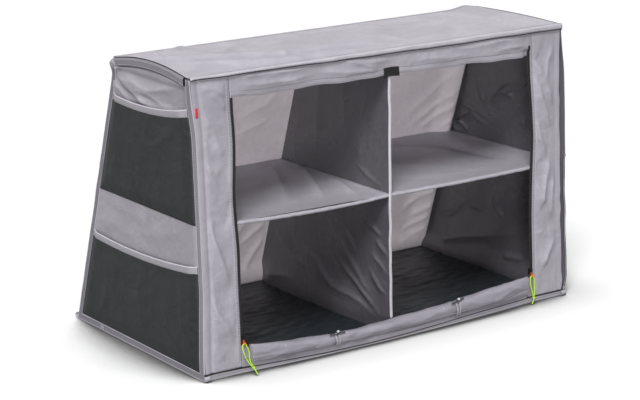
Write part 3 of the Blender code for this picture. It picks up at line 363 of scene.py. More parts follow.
def mouldedPlastic(name, hexText, darkHex, roughness, grain=0.0008, metallic=0.0):
    # Injection-moulded or coated surface: fine grain and slight unevenness of gloss
    made, tree, shader = startMaterial(name, roughness, metallic)
    place = addNode(tree, "ShaderNodeTexCoord").outputs["Object"]
    cloud = addNode(tree, "ShaderNodeTexNoise", {"Vector": place, "Scale": 60.0, "Detail": 3.0})
    paint = addNode(tree, "ShaderNodeMix", {0: cloud.outputs["Fac"], 6: colour(hexText), 7: colour(darkHex)},
                    data_type="RGBA")
    tree.links.new(paint.outputs[2], shader.inputs["Base Color"])
    pits = addNode(tree, "ShaderNodeTexNoise", {"Vector": place, "Scale": 1 / grain, "Detail": 2.0})
    bump = addNode(tree, "ShaderNodeBump",
                   {"Height": pits.outputs["Fac"], "Strength": 0.15, "Distance": 0.0002})
    tree.links.new(bump.outputs["Normal"], shader.inputs["Normal"])
    gloss = addNode(tree, "ShaderNodeMapRange",
                    {0: cloud.outputs["Fac"], 1: 0.3, 2: 0.7, 3: roughness - 0.05, 4: roughness + 0.08})
    tree.links.new(gloss.outputs[0], shader.inputs["Roughness"])
    return made


# Threads are drawn about 1 mm apart, twice as coarse as real, so that they show close by. Sizes are
# metres: thread spacing, crinkles, dents and blotches of the colour
greyCloth = {
    "hex": "#aca8b1", "blotchHex": "#9f9ba4", "speckleHex": "#96929c", "speckle": 0.5, "dotHex": "#c9c6cd",
    "thread": 0.001, "weaveHeight": 0.25, "crinkle": 0.012, "dent": 0.055, "dentHeight": 5.0,
    "bump": 0.55, "blotch": 0.11, "roughness": 0.46, "sheen": 0.1, "gloss": 0.5,
}
plainCloth = {key: value for key, value in greyCloth.items() if key != "dotHex"}
darkCloth = dict(plainCloth, hex="#625f65", blotchHex="#58565b", speckleHex="#706d73", speckle=0.25,
                 roughness=0.3, gloss=0.8, blotch=0.16, sheen=0.0)
# Webbing: its width, the pale thread along both edges, its ribs and its rows of weave
edgeTape = {"hex": "#828087", "wornHex": "#79767e", "ribHex": "#716e76", "edgeHex": "#b3b0b8",
            "width": 0.0165, "edge": 0.003, "rib": 0.0018, "pick": 0.0022, "roughness": 0.72, "sheen": 0.1}
finishes = {
    # Woven polyester, coated on its inner face: a soft silky grey, with a broad highlight on each fold
    "cover": wovenCloth("coated_polyester_grey", greyCloth),
    # The same cloth seen on its coated face, which is paler and smoother and has no dots
    "shelf": wovenCloth("coated_polyester_shelf", dict(
        plainCloth, hex="#b4b0b9", blotchHex="#aba7b0", speckleHex="#a29ea8", roughness=0.42)),
    # The door's cloth: a duller copy of the cover, darker as painted shade for the rolled door and its skirt,
    # low at the front
    "door": wovenCloth("coated_polyester_painted_shade", dict(
        greyCloth, hex="#9b97a0", blotchHex="#8f8b94", speckleHex="#87838d", roughness=0.5)),
    # Doubled cloth of the hem: it lets less light through and looks paler
    "band": wovenCloth("coated_polyester_hem_band", dict(
        greyCloth, hex="#bab7bf", blotchHex="#b1aeb6", speckleHex="#a8a4ae")),
    # Thin polyester painted nearly white and matt: painted light for the daylight that shines through it
    "back": wovenCloth("thin_polyester_painted_light", dict(
        greyCloth, hex="#f6eef3", blotchHex="#ece3e9", speckleHex="#e0d6dd", dotHex="#c8bec5",
        roughness=0.58)),
    # Dark coating on the inner face of the sides and divider: smooth, so that creases catch sharp glints
    "dark": wovenCloth("coated_polyester_dark", darkCloth),
    # Dyed black polyester of the pockets: matt, with a faint grey sheen where it turns
    "pocket": wovenCloth("polyester_black", dict(
        darkCloth, hex="#222427", blotchHex="#1c1e20", speckleHex="#2c2e31", roughness=0.5, gloss=0.5)),
    # Woven polyethylene with a film on it: blue-black, crinkled and half glossy
    "ground": wovenCloth("polyethylene_groundsheet", dict(
        darkCloth, hex="#22292e", blotchHex="#1a2024", speckleHex="#30373d", roughness=0.38,
        crinkle=0.018, bump=0.7)),
    # Polypropylene webbing: dull, finely ribbed, with a pale thread along both edges
    # A darker copy of the webbing for its reverse face: painted shade, for the right corner's flange that
    # faces away from the light
    "tapeShade": stripedWebbing("webbing_painted_shade", dict(
        edgeTape, hex="#57555b", wornHex="#4e4c52", ribHex="#48464b", edgeHex="#626066")),
    "edgeTape": stripedWebbing("polypropylene_webbing_edge", edgeTape),
    "sleeveTape": stripedWebbing("polypropylene_webbing_sleeve", dict(
        edgeTape, width=0.03, edge=0.0022, hex="#86838b", wornHex="#7c7981")),
    # Thinner polyester tape: paler and evener, its ribs hardly show
    "hemTape": stripedWebbing("polyester_hem_tape", dict(
        edgeTape, width=0.015, edge=0.0022, hex="#a6a3ab", wornHex="#9c99a1", ribHex="#96939b",
        edgeHex="#bcb9c1")),
    "paleTape": stripedWebbing("polyester_binding_pale", dict(
        edgeTape, width=0.008, edge=0.001, hex="#bfbdc3", wornHex="#b6b4ba", ribHex="#b2afb6",
        edgeHex="#cccad0")),
    # Black nylon zip tape: so dark and matt that only its teeth stand out
    "blackTape": stripedWebbing("nylon_tape_black", dict(
        edgeTape, width=0.012, edge=0.0012, hex="#0d0d0e", wornHex="#121214", ribHex="#08080a",
        edgeHex="#161618", sheen=0.0)),
    # Spun polyester thread: matt, a tone off its cloth, so that each stitch is a small mark
    "thread": mouldedPlastic("polyester_thread_grey", "#615e66", "#615e67", 0.6),
    "paleThread": mouldedPlastic("polyester_thread_pale", "#d9d6de", "#c9c6ce", 0.6),
    "darkThread": mouldedPlastic("polyester_thread_dark", "#3c3a40", "#302e34", 0.6),
    # Drawn nylon filament of the zip: black, with a small glint on each tooth
    "coil": mouldedPlastic("nylon_coil_black", "#1a1a1c", "#121214", 0.35),
    # Soft-touch moulding of the pullers: a full orange with a wide soft highlight
    "orange": mouldedPlastic("moulded_plastic_orange", "#e87a22", "#d96a18", 0.4),
    # Braided polyester cord: bright yellow-green, with hardly any highlight
    "lime": mouldedPlastic("braided_cord_lime", "#c3ea3a", "#a9d42c", 0.55),
    # Zinc casting under black paint: tight highlights on its edges
    "slider": mouldedPlastic("zinc_slider_black", "#232326", "#19191b", 0.35, metallic=0.4),
    # Dark acetal, smooth from the mould: grey-black with clear reflections
    "toggle": mouldedPlastic("smoked_acetal", "#4b4c50", "#3a3b3f", 0.25),
    # The hidden frame: painted steel tube, pultruded glass fibre and nylon fittings
    "steel": mouldedPlastic("powder_coated_steel", "#5a5a5f", "#4d4d52", 0.4, metallic=0.3),
    "rod": mouldedPlastic("glass_fibre_rod_black", "#2a2a2c", "#1f1f21", 0.35),
    "fitting": mouldedPlastic("moulded_nylon_black", "#222224", "#1a1a1c", 0.5),
    # Cut nylon pile: it swallows the light
    "hook": mouldedPlastic("hook_and_loop_black", "#0f0f11", "#08080a", 0.85, 0.0012),
    # Close-woven label: a flat, even red
    "tag": mouldedPlastic("woven_label_red", "#e02a35", "#c81f2c", 0.65),
}
print("materials made:", len(finishes))


# Making sheets, tubes and rows

def addObject(name, data):
    made = bpy.data.objects.new(name, data)
    bpy.context.collection.objects.link(made)
    return made


# Ways to lay a UV map on a sheet, in metres
def flatFront(x, y, z):
    return x, z


def flatSide(x, y, z):
    return y, z


def flatTop(x, y, z):
    return x, y


def gridPiece(name, place, us, vs, finish, flat=None, flip=False, thick=None, inner=None, wrap=False):
    # A grid of points from place(u, v); its UV map is (u, v) or flat(x, y, z), in metres. A wrapped
    # one has no last column of its own and closes on the first
    u, v = np.meshgrid(np.asarray(us, float), np.asarray(vs, float))
    x, y, z = [np.broadcast_to(part, u.shape) for part in place(u, v)]
    rows, columns = u.shape
    used = columns - 1 if wrap else columns
    index = np.arange(rows * used).reshape(rows, used)
    if wrap:
        index = np.concatenate([index, index[:, :1]], axis=1)
    quads = np.stack([index[:-1, :-1], index[:-1, 1:], index[1:, 1:], index[1:, :-1]], -1).reshape(-1, 4)
    grid = np.arange(rows * columns).reshape(rows, columns)
    look = np.stack([grid[:-1, :-1], grid[:-1, 1:], grid[1:, 1:], grid[1:, :-1]], -1).reshape(-1, 4)
    if flip:
        quads = quads[:, ::-1]
        look = look[:, ::-1]
    points = np.stack([x[:, :used], y[:, :used], z[:, :used]], -1).reshape(-1, 3)
    mesh = bpy.data.meshes.new(name)
    mesh.from_pydata(points.tolist(), [], quads.tolist())
    layer = mesh.uv_layers.new(name="UVMap")
    flatU, flatV = flat(x, y, z) if flat else (u, v)
    uvs = np.stack([flatU, flatV], -1).reshape(-1, 2)[look.reshape(-1)]
    layer.data.foreach_set("uv", uvs.ravel())
    mesh.materials.append(finishes[finish])
    if inner:
        mesh.materials.append(finishes[inner])
    mesh.shade_smooth()
    made = addObject(name, mesh)
    if thick:
        shell = made.modifiers.new("thickness", "SOLIDIFY")
        shell.thickness = thick
        shell.offset = -1
        if inner:
            shell.material_offset = 1
    return made


def steps(start, end, size):
    return np.linspace(start, end, max(2, round(abs(end - start) / size) + 1))


def tubePiece(name, points, radius, finish, sideCount=10):
    # A closed round body along a line of points
    route = [Vector(p) for p in points]
    count = len(route)
    tangents = [(route[min(i + 1, count - 1)] - route[max(i - 1, 0)]).normalized() for i in range(count)]
    across = tangents[0].orthogonal().normalized()
    frames = []
    for tangent in tangents:
        across = (across - tangent * across.dot(tangent)).normalized()
        frames.append((across.copy(), tangent.cross(across)))
    lengths = np.concatenate([[0], np.cumsum([(b - a).length for a, b in zip(route, route[1:])])])
    turns = [2 * math.pi * k / sideCount for k in range(sideCount)]
    vertices = [middle + radius * (math.cos(turn) * first + math.sin(turn) * second)
                for middle, (first, second) in zip(route, frames) for turn in turns]
    faces, uvs, quad = [], [], ((0, 0), (0, 1), (1, 1), (1, 0))
    girth = 2 * math.pi * radius / sideCount
    for i in range(count - 1):
        for k in range(sideCount):
            faces.append([(i + a) * sideCount + (k + b) % sideCount for a, b in quad])
            uvs += [(lengths[i + a], (k + b) * girth) for a, b in quad]
    faces.append(tuple(reversed(range(sideCount))))
    faces.append(tuple((count - 1) * sideCount + k for k in range(sideCount)))
    uvs += [(0.0, 0.0)] * (2 * sideCount)
    mesh = bpy.data.meshes.new(name)
    mesh.from_pydata(vertices, [], faces)
    mesh.uv_layers.new(name="UVMap").data.foreach_set("uv", np.array(uvs).ravel())
    mesh.materials.append(finishes[finish])
    mesh.shade_smooth()
    mesh.set_sharp_from_angle(angle=math.radians(60))
    return addObject(name, mesh)


def smoothRoute(points, step):
    # Points about one step apart on a smooth curve through the route's own points
    points = [Vector(p) for p in points]
    made = []
    for i in range(len(points) - 1):
        a, b, c = points[max(i - 1, 0)], points[i], points[i + 1]
        d = points[min(i + 2, len(points) - 1)]
        pieces = max(1, round((c - b).length / step))
        for k in range(pieces):
            t = k / pieces
            made.append(0.5 * (2 * b + (c - a) * t + (2 * a - 5 * b + 4 * c - d) * t * t
                               + (3 * b - a - 3 * c + d) * t * t * t))
    made.append(points[-1])
    return made


def knotLine(middle, wide, swing, high, count):
    # The turns of an overhand knot drawn tight
    turns = [2 * math.pi * k / count for k in range(count + 1)]
    return [middle + Vector((wide * (math.sin(t) + swing * math.sin(2 * t)),
                             wide * (math.cos(t) - swing * math.cos(2 * t)), -high * math.sin(3 * t)))
            for t in turns]


rowStore = {}
threadOut = (0, -0.0003, 0)   # a stitch on the front stands this far out of the cloth


def lineOn(place, us, vs, out=(0, 0, 0)):
    # A line of points on a surface, moved out of it a little
    u, v = np.broadcast_arrays(np.atleast_2d(np.asarray(us, float)), np.atleast_2d(np.asarray(vs, float)))
    return np.stack([np.broadcast_to(part, u.shape).ravel() for part in place(u, v)], -1) + np.array(out)


def addRow(use, place, us, vs, out=(0, 0, 0)):
    # Keeps a line on a surface of the cover, for the stitches or zip teeth made later
    rowStore.setdefault(use, []).append(lineOn(place, us, vs, out))


def closeMesh(mesh, caps=False):
    # Welds the first and last row of a grid that goes right round, and may close its two open ends
    shape = bmesh.new()
    shape.from_mesh(mesh)
    bmesh.ops.remove_doubles(shape, verts=shape.verts, dist=1e-6)
    if caps:
        bmesh.ops.holes_fill(shape, edges=[e for e in shape.edges if e.is_boundary], sides=0)
    bmesh.ops.recalc_face_normals(shape, faces=shape.faces)
    shape.to_mesh(mesh)
    shape.free()


def fillCentre(mesh):
    # Closes the small hole in the middle of a disc
    shape = bmesh.new()
    shape.from_mesh(mesh)
    middle = sum((v.co for v in shape.verts), Vector()) / len(shape.verts)
    limit = 0.62 * max((v.co - middle).length for v in shape.verts)
    near = [e for e in shape.edges if e.is_boundary and (e.verts[0].co - middle).length < limit]
    bmesh.ops.holes_fill(shape, edges=near, sides=0)
    shape.to_mesh(mesh)
    shape.free()


def scaleUv(mesh, along, across):
    # Turns a UV map that was laid in shares or angles into metres
    layer = mesh.uv_layers["UVMap"]
    uvs = np.empty(len(layer.data) * 2)
    layer.data.foreach_get("uv", uvs)
    uvs[0::2] *= along
    uvs[1::2] *= across
    layer.data.foreach_set("uv", uvs)


def joinPieces(name, pieces):
    # One object from several pieces of one body
    bpy.ops.object.select_all(action="DESELECT")
    for piece in pieces:
        piece.select_set(True)
    bpy.context.view_layer.objects.active = pieces[0]
    bpy.ops.object.join()
    pieces[0].name = name
    pieces[0].data.name = name
    return pieces[0]


def settle(piece, slot, *nodes, body="root"):
    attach(piece, body)
    if nodes:
        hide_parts(*nodes)
    return piece


# Camera: as the photograph was taken, long lens, slightly above, looking at the left front corner

view = {"azimuth": 35.422, "elevation": 15.122, "roll": -0.502, "lens": 117.01,
        "place": (-2.666, -3.7353, 1.4941)}


def addCamera():
    turn, tilt, roll = [math.radians(view[key]) for key in ("azimuth", "elevation", "roll")]
    forward = Vector((math.sin(turn) * math.cos(tilt), math.cos(turn) * math.cos(tilt), -math.sin(tilt)))
    level = Vector((math.cos(turn), -math.sin(turn), 0))
    upright = level.cross(forward)
    right = level * math.cos(roll) + upright * math.sin(roll)
    up = upright * math.cos(roll) - level * math.sin(roll)
    data = bpy.data.cameras.new("camera")
    data.lens = view["lens"]
    data.sensor_width = 36
    made = addObject("camera", data)
    made.matrix_world = Matrix((
        (right.x, up.x, -forward.x, view["place"][0]),
        (right.y, up.y, -forward.y, view["place"][1]),
        (right.z, up.z, -forward.z, view["place"][2]),
        (0, 0, 0, 1),
    ))
    bpy.context.scene.camera = made


# Soft daylight studio: the suns give energy, width in degrees and the place that they shine from
studio = {
    "sky": 0.23, "floorSize": 30, "floorBack": 0.28, "floorSeen": 0.86,
    # Shade on the floor: its reach, the openness where its dark core begins and ends, and how much
    # light is left in the core and in the wide shade round it
    "shadeReach": 0.3, "coreFrom": 0.5, "coreTo": 0.7, "coreDark": 0.12, "wideDark": 0.88,
    "suns": {"key": (2.6, 22, (-1.0, -1.1, 1.85)), "top": (1.06, 15, (-0.12, 0.13, 1.0))},
    "panel": {"power": 240, "size": 1.2, "place": (-4.3, -7.2, 0.9), "aim": (0.0, 0.0, 0.3)},
}


def addLight(kind, name, energy, place, aim):
    data = bpy.data.lights.new(name, kind)
    data.energy = energy
    made = addObject(name, data)
    made.location = place
    made.rotation_euler = (Vector(aim) - Vector(place)).to_track_quat("-Z", "Y").to_euler()
    return data


def addStudio():
    scene = bpy.context.scene
    scene.view_settings.view_transform = "Standard"
    world = bpy.data.worlds.new("studio")
    scene.world = world
    world.use_nodes = True
    tree = world.node_tree
    tree.nodes.clear()
    rays = addNode(tree, "ShaderNodeLightPath")
    seen = addNode(tree, "ShaderNodeMath", {0: rays.outputs["Is Camera Ray"],
                                            1: rays.outputs["Is Glossy Ray"]}, operation="MAXIMUM")
    seen = addNode(tree, "ShaderNodeMath", {0: seen.outputs[0], 1: rays.outputs["Is Transmission Ray"]},
                   operation="MAXIMUM")
    strength = addNode(tree, "ShaderNodeMapRange", {0: seen.outputs[0], 3: studio["sky"]})
    light = addNode(tree, "ShaderNodeBackground", {"Color": (1, 1, 1, 1), "Strength": strength.outputs[0]})
    addNode(tree, "ShaderNodeOutputWorld", {"Surface": light.outputs[0]})
    for name, (energy, width, place) in studio["suns"].items():
        addLight("SUN", name, energy, place, (0, 0, 0)).angle = math.radians(width)
    panel = studio["panel"]
    addLight("AREA", "panel", panel["power"], panel["place"], panel["aim"]).size = panel["size"]
    half = studio["floorSize"] / 2
    mesh = bpy.data.meshes.new("studio_floor")
    mesh.from_pydata([(-half, -half, 0), (half, -half, 0), (half, half, 0), (-half, half, 0)], [],
                     [(0, 1, 2, 3)])
    # Paper that the camera sees white, and that sends less light up into the cupboard
    paper = bpy.data.materials.new("white_paper")
    paper.use_nodes = True
    tree = paper.node_tree
    tree.nodes.clear()
    rays = addNode(tree, "ShaderNodeLightPath")
    # Painted shadow: its colour darkens softly close round the cupboard's foot, after ambient occlusion, as
    # in light from all sides
    airy = addNode(tree, "ShaderNodeAmbientOcclusion", {"Distance": studio["shadeReach"]}, samples=16)
    core = addNode(tree, "ShaderNodeMapRange", {0: airy.outputs["AO"], 1: studio["coreFrom"],
                                                2: studio["coreTo"], 3: studio["coreDark"]})
    wide = addNode(tree, "ShaderNodeMapRange", {0: airy.outputs["AO"], 1: studio["coreFrom"], 2: 1.0,
                                                3: studio["wideDark"] * studio["floorSeen"],
                                                4: studio["floorSeen"]})
    shade = addNode(tree, "ShaderNodeMath", {0: core.outputs[0], 1: wide.outputs[0]}, operation="MULTIPLY")
    back = addNode(tree, "ShaderNodeMapRange", {0: rays.outputs["Is Camera Ray"], 3: studio["floorBack"],
                                                4: shade.outputs[0]})
    matt = addNode(tree, "ShaderNodeBsdfDiffuse", {"Color": back.outputs[0]})
    addNode(tree, "ShaderNodeOutputMaterial", {"Surface": matt.outputs[0]})
    mesh.materials.append(paper)
    floor = addObject("studio_floor", mesh)


addCamera()
addStudio()
print("camera and studio set")


# Cord loops on the zip pullers, on the routes of the CAD cords

pullCords = {
    "radius": 0.0013, "knotRadius": 0.0034,
    # Millimetres from the zip: to the right, forward and up
    "loops": {
        "left": [
            (13.6, 12.8, 16.5), (9.8, 11.8, 22.5), (7.8, 10.5, 31),
            (8.6, 8.8, 42), (7.2, 6.8, 52), (5, 5.3, 58.3),
            (3.6, 4.3, 62.8), (0, 4.1, 64.3), (-3.6, 4.3, 62.8),
            (-5, 5.3, 58.3), (-5.4, 6.8, 52), (-3, 9.2, 40),
            (1.8, 11.2, 29), (8, 12.6, 19), (11.2, 13.4, 14.8),
        ],
        "right": [
            (-1.8, 9.6, 17.8), (-3, 9.2, 25), (-5.6, 8.4, 35),
            (-7.2, 7.3, 45), (-6.4, 6, 53), (-5, 5.3, 58.3),
            (-3.6, 4.3, 62.8), (0, 4.1, 64.3), (3.6, 4.3, 62.8),
            (5, 5.3, 58.3), (5.4, 6, 52), (4.8, 7.8, 40),
            (3.6, 8.8, 29), (2.2, 9.4, 22.5), (1.6, 9.6, 17.8),
        ],
    },
    "knots": {"left": (14.5, 14.5, 12.3), "right": (0, 10, 14)},
    "tails": {
        "left": [(15, 16, 11), (14, 24, 6), (12.2, 33, 2)],
        "right": [(-1, 11, 12), (-6, 14, 7), (-11, 17.5, 2.4)],
    },
}


def cordPlace(side, point):
    x, forward, z = [part / 1000 for part in point]
    return Vector((side * cupboard["zipX"] + x, frontY(z) - forward, z))


def addPullCord(sideName, side):
    loop = smoothRoute([cordPlace(side, p) for p in pullCords["loops"][sideName]], 0.0022)
    cord = tubePiece(sideName + "_cord_loop", loop, pullCords["radius"], "lime", 10)
    middle = cordPlace(side, pullCords["knots"][sideName])
    reach = pullCords["knotRadius"] * 0.27
    bow = knotLine(middle, reach, 1.6, 1.5 * reach, 60)
    knot = tubePiece(sideName + "_knot_turns", bow, pullCords["radius"] * 0.95, "lime", 10)
    tailRoute = smoothRoute([middle] + [cordPlace(side, p) for p in pullCords["tails"][sideName]], 0.002)
    tail = tubePiece(sideName + "_knot_tail", tailRoute, pullCords["radius"], "lime", 10)
    knot = joinPieces(sideName + "_cord_knot", [knot, tail])
    settle(cord, "lime_cord", sideName + "_pull_cord", body=sideName + "_pull")
    settle(knot, "lime_cord", sideName + "_pull_knot", body=sideName + "_pull")


for sideName, side in sides.items():
    addPullCord(sideName, side)
print("cord loops made")


# Roof: one cloth from the front hem over the bars to the rear hem

roof = {
    "overhang": -0.0008, "lipOut": 0.006, "lipDrop": 0.0108, "round": 0.0024, "sideTurn": 0.0012,
    # the last: radius of the black line under the edges, a painted shadow
    "flat": 0.035, "reach": 0.3, "shadowLine": 0.0008,
    "hump": 0.0062, "notch": 0.003,   # where the right rear fitting pushes up the rear hem
    "foldHeight": 2.6,                 # all the folds below are made this many times as high
    "folds": [   # as x and y
        ([(-520, -70), (-363, -139), (-213, -166), (-96, -164), (120, -160)], 5, 22, 12),
        ([(-490, -120), (-360, -197), (-201, -209), (-20, -206)], 4.2, 16, 10),
        ([(-200, 30), (-297, -76), (-353, -124)], 3.6, 10, 22),
        ([(-330, 36), (-396, -22), (-455, -62)], 3.4, 10, 20),
        ([(-490, 30), (-470, -30), (-478, -110)], 3.4, 10, 20),
        ([(-478, 46), (-350, 20), (-180, 10)], 2.2, 14, 22),
        ([(-380, -30), (-350, -75), (-330, -120)], 2, 8, 12),
        ([(475, 40), (360, -20), (220, -40)], 1.8, 20, 14),
        ([(480, -215), (340, -140), (160, -100)], 1.5, 20, 16),
        ([(-100, 52), (-40, -20), (60, -60)], 1.4, 16, 22),
    ],
}
roofFront = frontY(cupboard["height"]) - roof["lipOut"]
roofRear = rearY(cupboard["height"]) + roof["lipOut"]
roofProfile = np.array([
    (roofFront + 0.0008, -roof["lipDrop"]), (roofFront - 0.0003, -0.007), (roofFront, -roof["round"]),
    (roofFront + 0.0007, -0.0007), (roofFront + roof["round"], 0.0),
    (roofRear - roof["round"], 0.0), (roofRear - 0.0007, -0.0007), (roofRear, -roof["round"]),
    (roofRear + 0.0003, -0.007), (roofRear - 0.0008, -roof["lipDrop"]),
])
roofAlong = np.concatenate([[0], np.cumsum(np.hypot(*np.diff(roofProfile, axis=0).T))])


def roofPlace(x, s):
    y = np.interp(s, roofAlong, roofProfile[:, 0])
    drop = np.interp(s, roofAlong, roofProfile[:, 1])
    leftFar = (x + halfWidth - roof["flat"]) / roof["reach"]
    rightFar = (halfWidth - x - roof["flat"]) / roof["reach"]
    rise = barRise(y, -1) * (1 - smooth(leftFar))
    rise += barRise(y, 1) * (1 - smooth(rightFar))
    inside = smooth((y - roofFront - 0.01) / 0.03) * smooth((roofRear - y - 0.004) / 0.07)
    inside *= smooth((halfWidth - np.abs(x)) / 0.03)
    lift = roof["foldHeight"] * folds(x, y, roof["folds"])
    lift += crumple(x, y, 11, 70, 0.0038, (0.06, 0.2), (0.006, 0.014))
    lift += 0.0022 * ripple(x, y, 12, 0.16, 1.2)
    hump = roof["hump"] * hill(x, 0.459, 0.026) * smooth((y - roofRear + 0.07) / 0.06)
    notch = roof["notch"] * hill(x, 0.476, 0.004) * smooth((y - roofRear + 0.012) / 0.01)
    hem = 0.0006 * smooth((roofFront + 0.013 - y) / 0.001)
    wavy = 0.0004 * np.sin(21 * x + 1) + 0.0003 * np.sin(49 * x)
    turned = roof["sideTurn"] * smooth((np.abs(x) - halfWidth + 0.006) / 0.005)
    lip = smooth(-drop / 0.004)
    # The front lip is turned under further at the left
    drop = drop * np.where(y < 0, 0.42 + 0.58 * smooth((x + 0.5) / 0.75), 1)
    z = cupboard["height"] + rise + drop + inside * lift + hump - notch + hem - turned + lip * wavy
    out = lip * (0.0005 * np.sin(33 * x + 2) + 0.0004 * np.sin(71 * x))
    y = y - np.where(y < 0, 1, -1) * out
    return x, y, z


def addRoof():
    half = halfWidth + roof["overhang"]
    edge = halfWidth - 0.0075
    us = np.concatenate([steps(-half, -edge, 0.0011), steps(-edge, edge, 0.0052)[1:-1],
                         steps(edge, half, 0.0011)])
    lip = roofAlong[4]
    end = roofAlong[-1]
    vs = np.concatenate([steps(0, lip, 0.0016), steps(lip, end - lip, 0.0045)[1:-1],
                         steps(end - lip, end, 0.0016)])
    cover = gridPiece("roof_cloth", roofPlace, us, vs, "cover", thick=0.0012)
    settle(cover, "cover", "roof_panel")
    row = steps(-half + 0.006, half - 0.006, 0.006)
    addRow("thread", roofPlace, row, lip + 0.0115, (0, 0, 0.0003))
    addRow("thread", roofPlace, row, end - lip - 0.0115, (0, 0, 0.0003))

    def bandPlace(x, s):
        # Hem band over the front lip
        x, y, z = roofPlace(x, s)
        return x, y - 0.0006, z + 0.0005 * smooth((s - lip + 0.003) / 0.003)

    band = gridPiece("roof_front_band", bandPlace, steps(-half, half, 0.0052),
                     steps(0.0006, lip + 0.002, 0.0016), "band", thick=0.0008)
    settle(band, "cover")
    addRow("thread", bandPlace, row, 0.0022, threadOut)
    # Black lines under the front lip and along both side edges: painted shadow in the gaps under the roof's
    # edges
    shadowLine = []
    for side in sides.values():
        out = (side * 0.0009, 0, 0.0003)
        line = [lineOn(roofPlace, side * (half - 0.0002), s, out)[0] for s in steps(lip, end - lip, 0.006)]
        shadowLine.append(tubePiece("shadowLine", line, roof["shadowLine"], "hook", 8))
    line = [lineOn(roofPlace, x, 0.0, (0, -0.0004, -0.0006))[0] for x in steps(-half, half, 0.008)]
    shadowLine.append(tubePiece("shadowLine", line, roof["shadowLine"], "hook", 8))
    settle(joinPieces("roof_shadow_line", shadowLine), "black")


addRoof()
print("roof made")


# Back: grey outside; inside, a nearly white lining whose colour is painted light standing in for daylight
# through the thin cloth

back = {
    "billow": 0.005, "overTunnel": 0.0182, "foldHeight": 1.7,
    "folds": [   # as x and z
        ([(497, 385), (480, 356), (450, 323)], 4.4, 10, 4),
        ([(497, 352), (476, 330), (462, 319)], 4, 7, 4),
        ([(498, 404), (463, 383), (414, 349), (380, 330)], 4.4, 12, 5),
        ([(496, 440), (447, 405), (396, 372), (350, 335)], 3.6, 14, 8),
        ([(480, 490), (400, 420), (320, 360)], 2.8, 16, 12),
        ([(497, 165), (450, 150), (400, 120)], 4.4, 10, 5),
        ([(497, 130), (467, 114), (425, 88)], 4.8, 11, 4),
        ([(494, 98), (452, 78), (402, 45)], 4.8, 11, 4),
        ([(492, 66), (451, 44), (400, 20)], 4.2, 10, 5),
        ([(450, 165), (420, 130), (400, 105)], 3, 8, 6),
        ([(-12, 160), (-51, 137), (-85, 105)], 4.4, 10, 5),
        ([(-10, 125), (-40, 81), (-62, 26)], 4.4, 10, 6),
        ([(-30, 190), (-80, 170), (-110, 120)], 3.4, 10, 8),
        ([(-60, 430), (-113, 417), (-160, 400)], 3.4, 12, 6),
        ([(-30, 520), (-80, 470), (-160, 440)], 2.8, 16, 12),
        ([(-100, 345), (-160, 420), (-200, 500)], 2.2, 16, 12),
    ],
}


def bayArch(x, z):
    across = np.where(x < dividerX, (x + sideFace) / (dividerX + sideFace),
                      (x - dividerX) / (sideFace - dividerX))
    up = np.where(z < shelfZ, z / shelfZ, (z - shelfZ) / (coverTopZ - shelfZ))
    return arch(across) * arch(up)


def backPlace(x, z):
    room = bayArch(x, z)
    lift = crumple(x, z, 21, 90, 0.0018, (0.04, 0.14), (0.005, 0.012)) + 0.0016 * ripple(x, z, 22, 0.16, 0.9)
    y = rearY(z) + back["billow"] * room + lift * smooth(room * 9)
    return x, y, z


def backLiningPlace(x, z):
    # Inside, the nearly white cloth with its painted light runs on over the tunnels at the sides and at the
    # bottom
    overPost = smooth((np.abs(x) - postX + 0.058) / 0.05)
    overRail = smooth((0.056 - z) / 0.047)
    forward = 0.003 + back["overTunnel"] * (1 - (1 - overPost) * (1 - overRail))
    lift = back["foldHeight"] * folds(x, z, back["folds"])
    lift += crumple(x, z, 23, 90, 0.0016, (0.03, 0.09), (0.004, 0.009))
    room = smooth((z - 0.004) / 0.02) * smooth((postX - np.abs(x)) / 0.016)
    behind = smooth(np.abs(x - dividerX) / 0.02)
    return x, rearY(z) - forward - np.clip(lift, 0, None) * room * behind, z


def addBack():
    cloth = gridPiece("back_cloth", backPlace, steps(-sideFace, sideFace, 0.0044),
                      steps(0.0, coverTopZ, 0.0044), "cover", flip=True, thick=0.001)
    settle(cloth, "back", "back_panel")
    # The inner sheet is nearly white: painted light for daylight through the back
    inner = gridPiece("back_lining", backLiningPlace, steps(-postX + 0.001, postX - 0.001, 0.0044),
                      steps(0.0024, 0.612, 0.0044), "back", thick=0.0006)
    settle(inner, "cover")


addBack()
print("back made")


# Sides: grey cloth outside with swags under the sleeve, dark lining inside

sideCloth = {
    "swags": [   # as y and z, hanging under the sleeve
        ([(78, 611), (35, 591), (-43, 580), (-144, 600), (-214, 620)], 4.6, 9, 16),
        ([(70, 607), (10, 581), (-45, 560), (-90, 556)], 5, 8, 14),
        ([(42, 607), (-64, 580), (-120, 566), (-166, 564)], 3, 7, 12),
        ([(88, 596), (70, 575), (50, 558)], 4.8, 7, 10),
        ([(82, 600), (52, 572), (12, 556)], 4.2, 7, 10),
    ],
    "band": [   # on the plain band between the pockets
        ([(130, 322), (20, 300), (-100, 306)], 1.6, 12, 18),
        ([(-215, 318), (-120, 285), (0, 262)], 1.8, 12, 16),
        ([(150, 250), (80, 262), (-20, 250)], 1.2, 10, 14),
    ],
    "ear": {"left": 0.0095, "right": 0.004},   # the corner that stands out at the rear of each bar
    "foldHeight": 1.25, "foldLimit": 0.0075,
    "sleeveFoot": 0.552, "underSleeve": 0.0052,   # the cloth steps in under the sleeve
}


def earOut(y, z, sideName):
    # The cloth's corner that stands out at the rear end of the springy bar
    return sideCloth["ear"][sideName] * hill(y, rearY(z) - 0.003, 0.02) * hill(z, 0.625, 0.015)


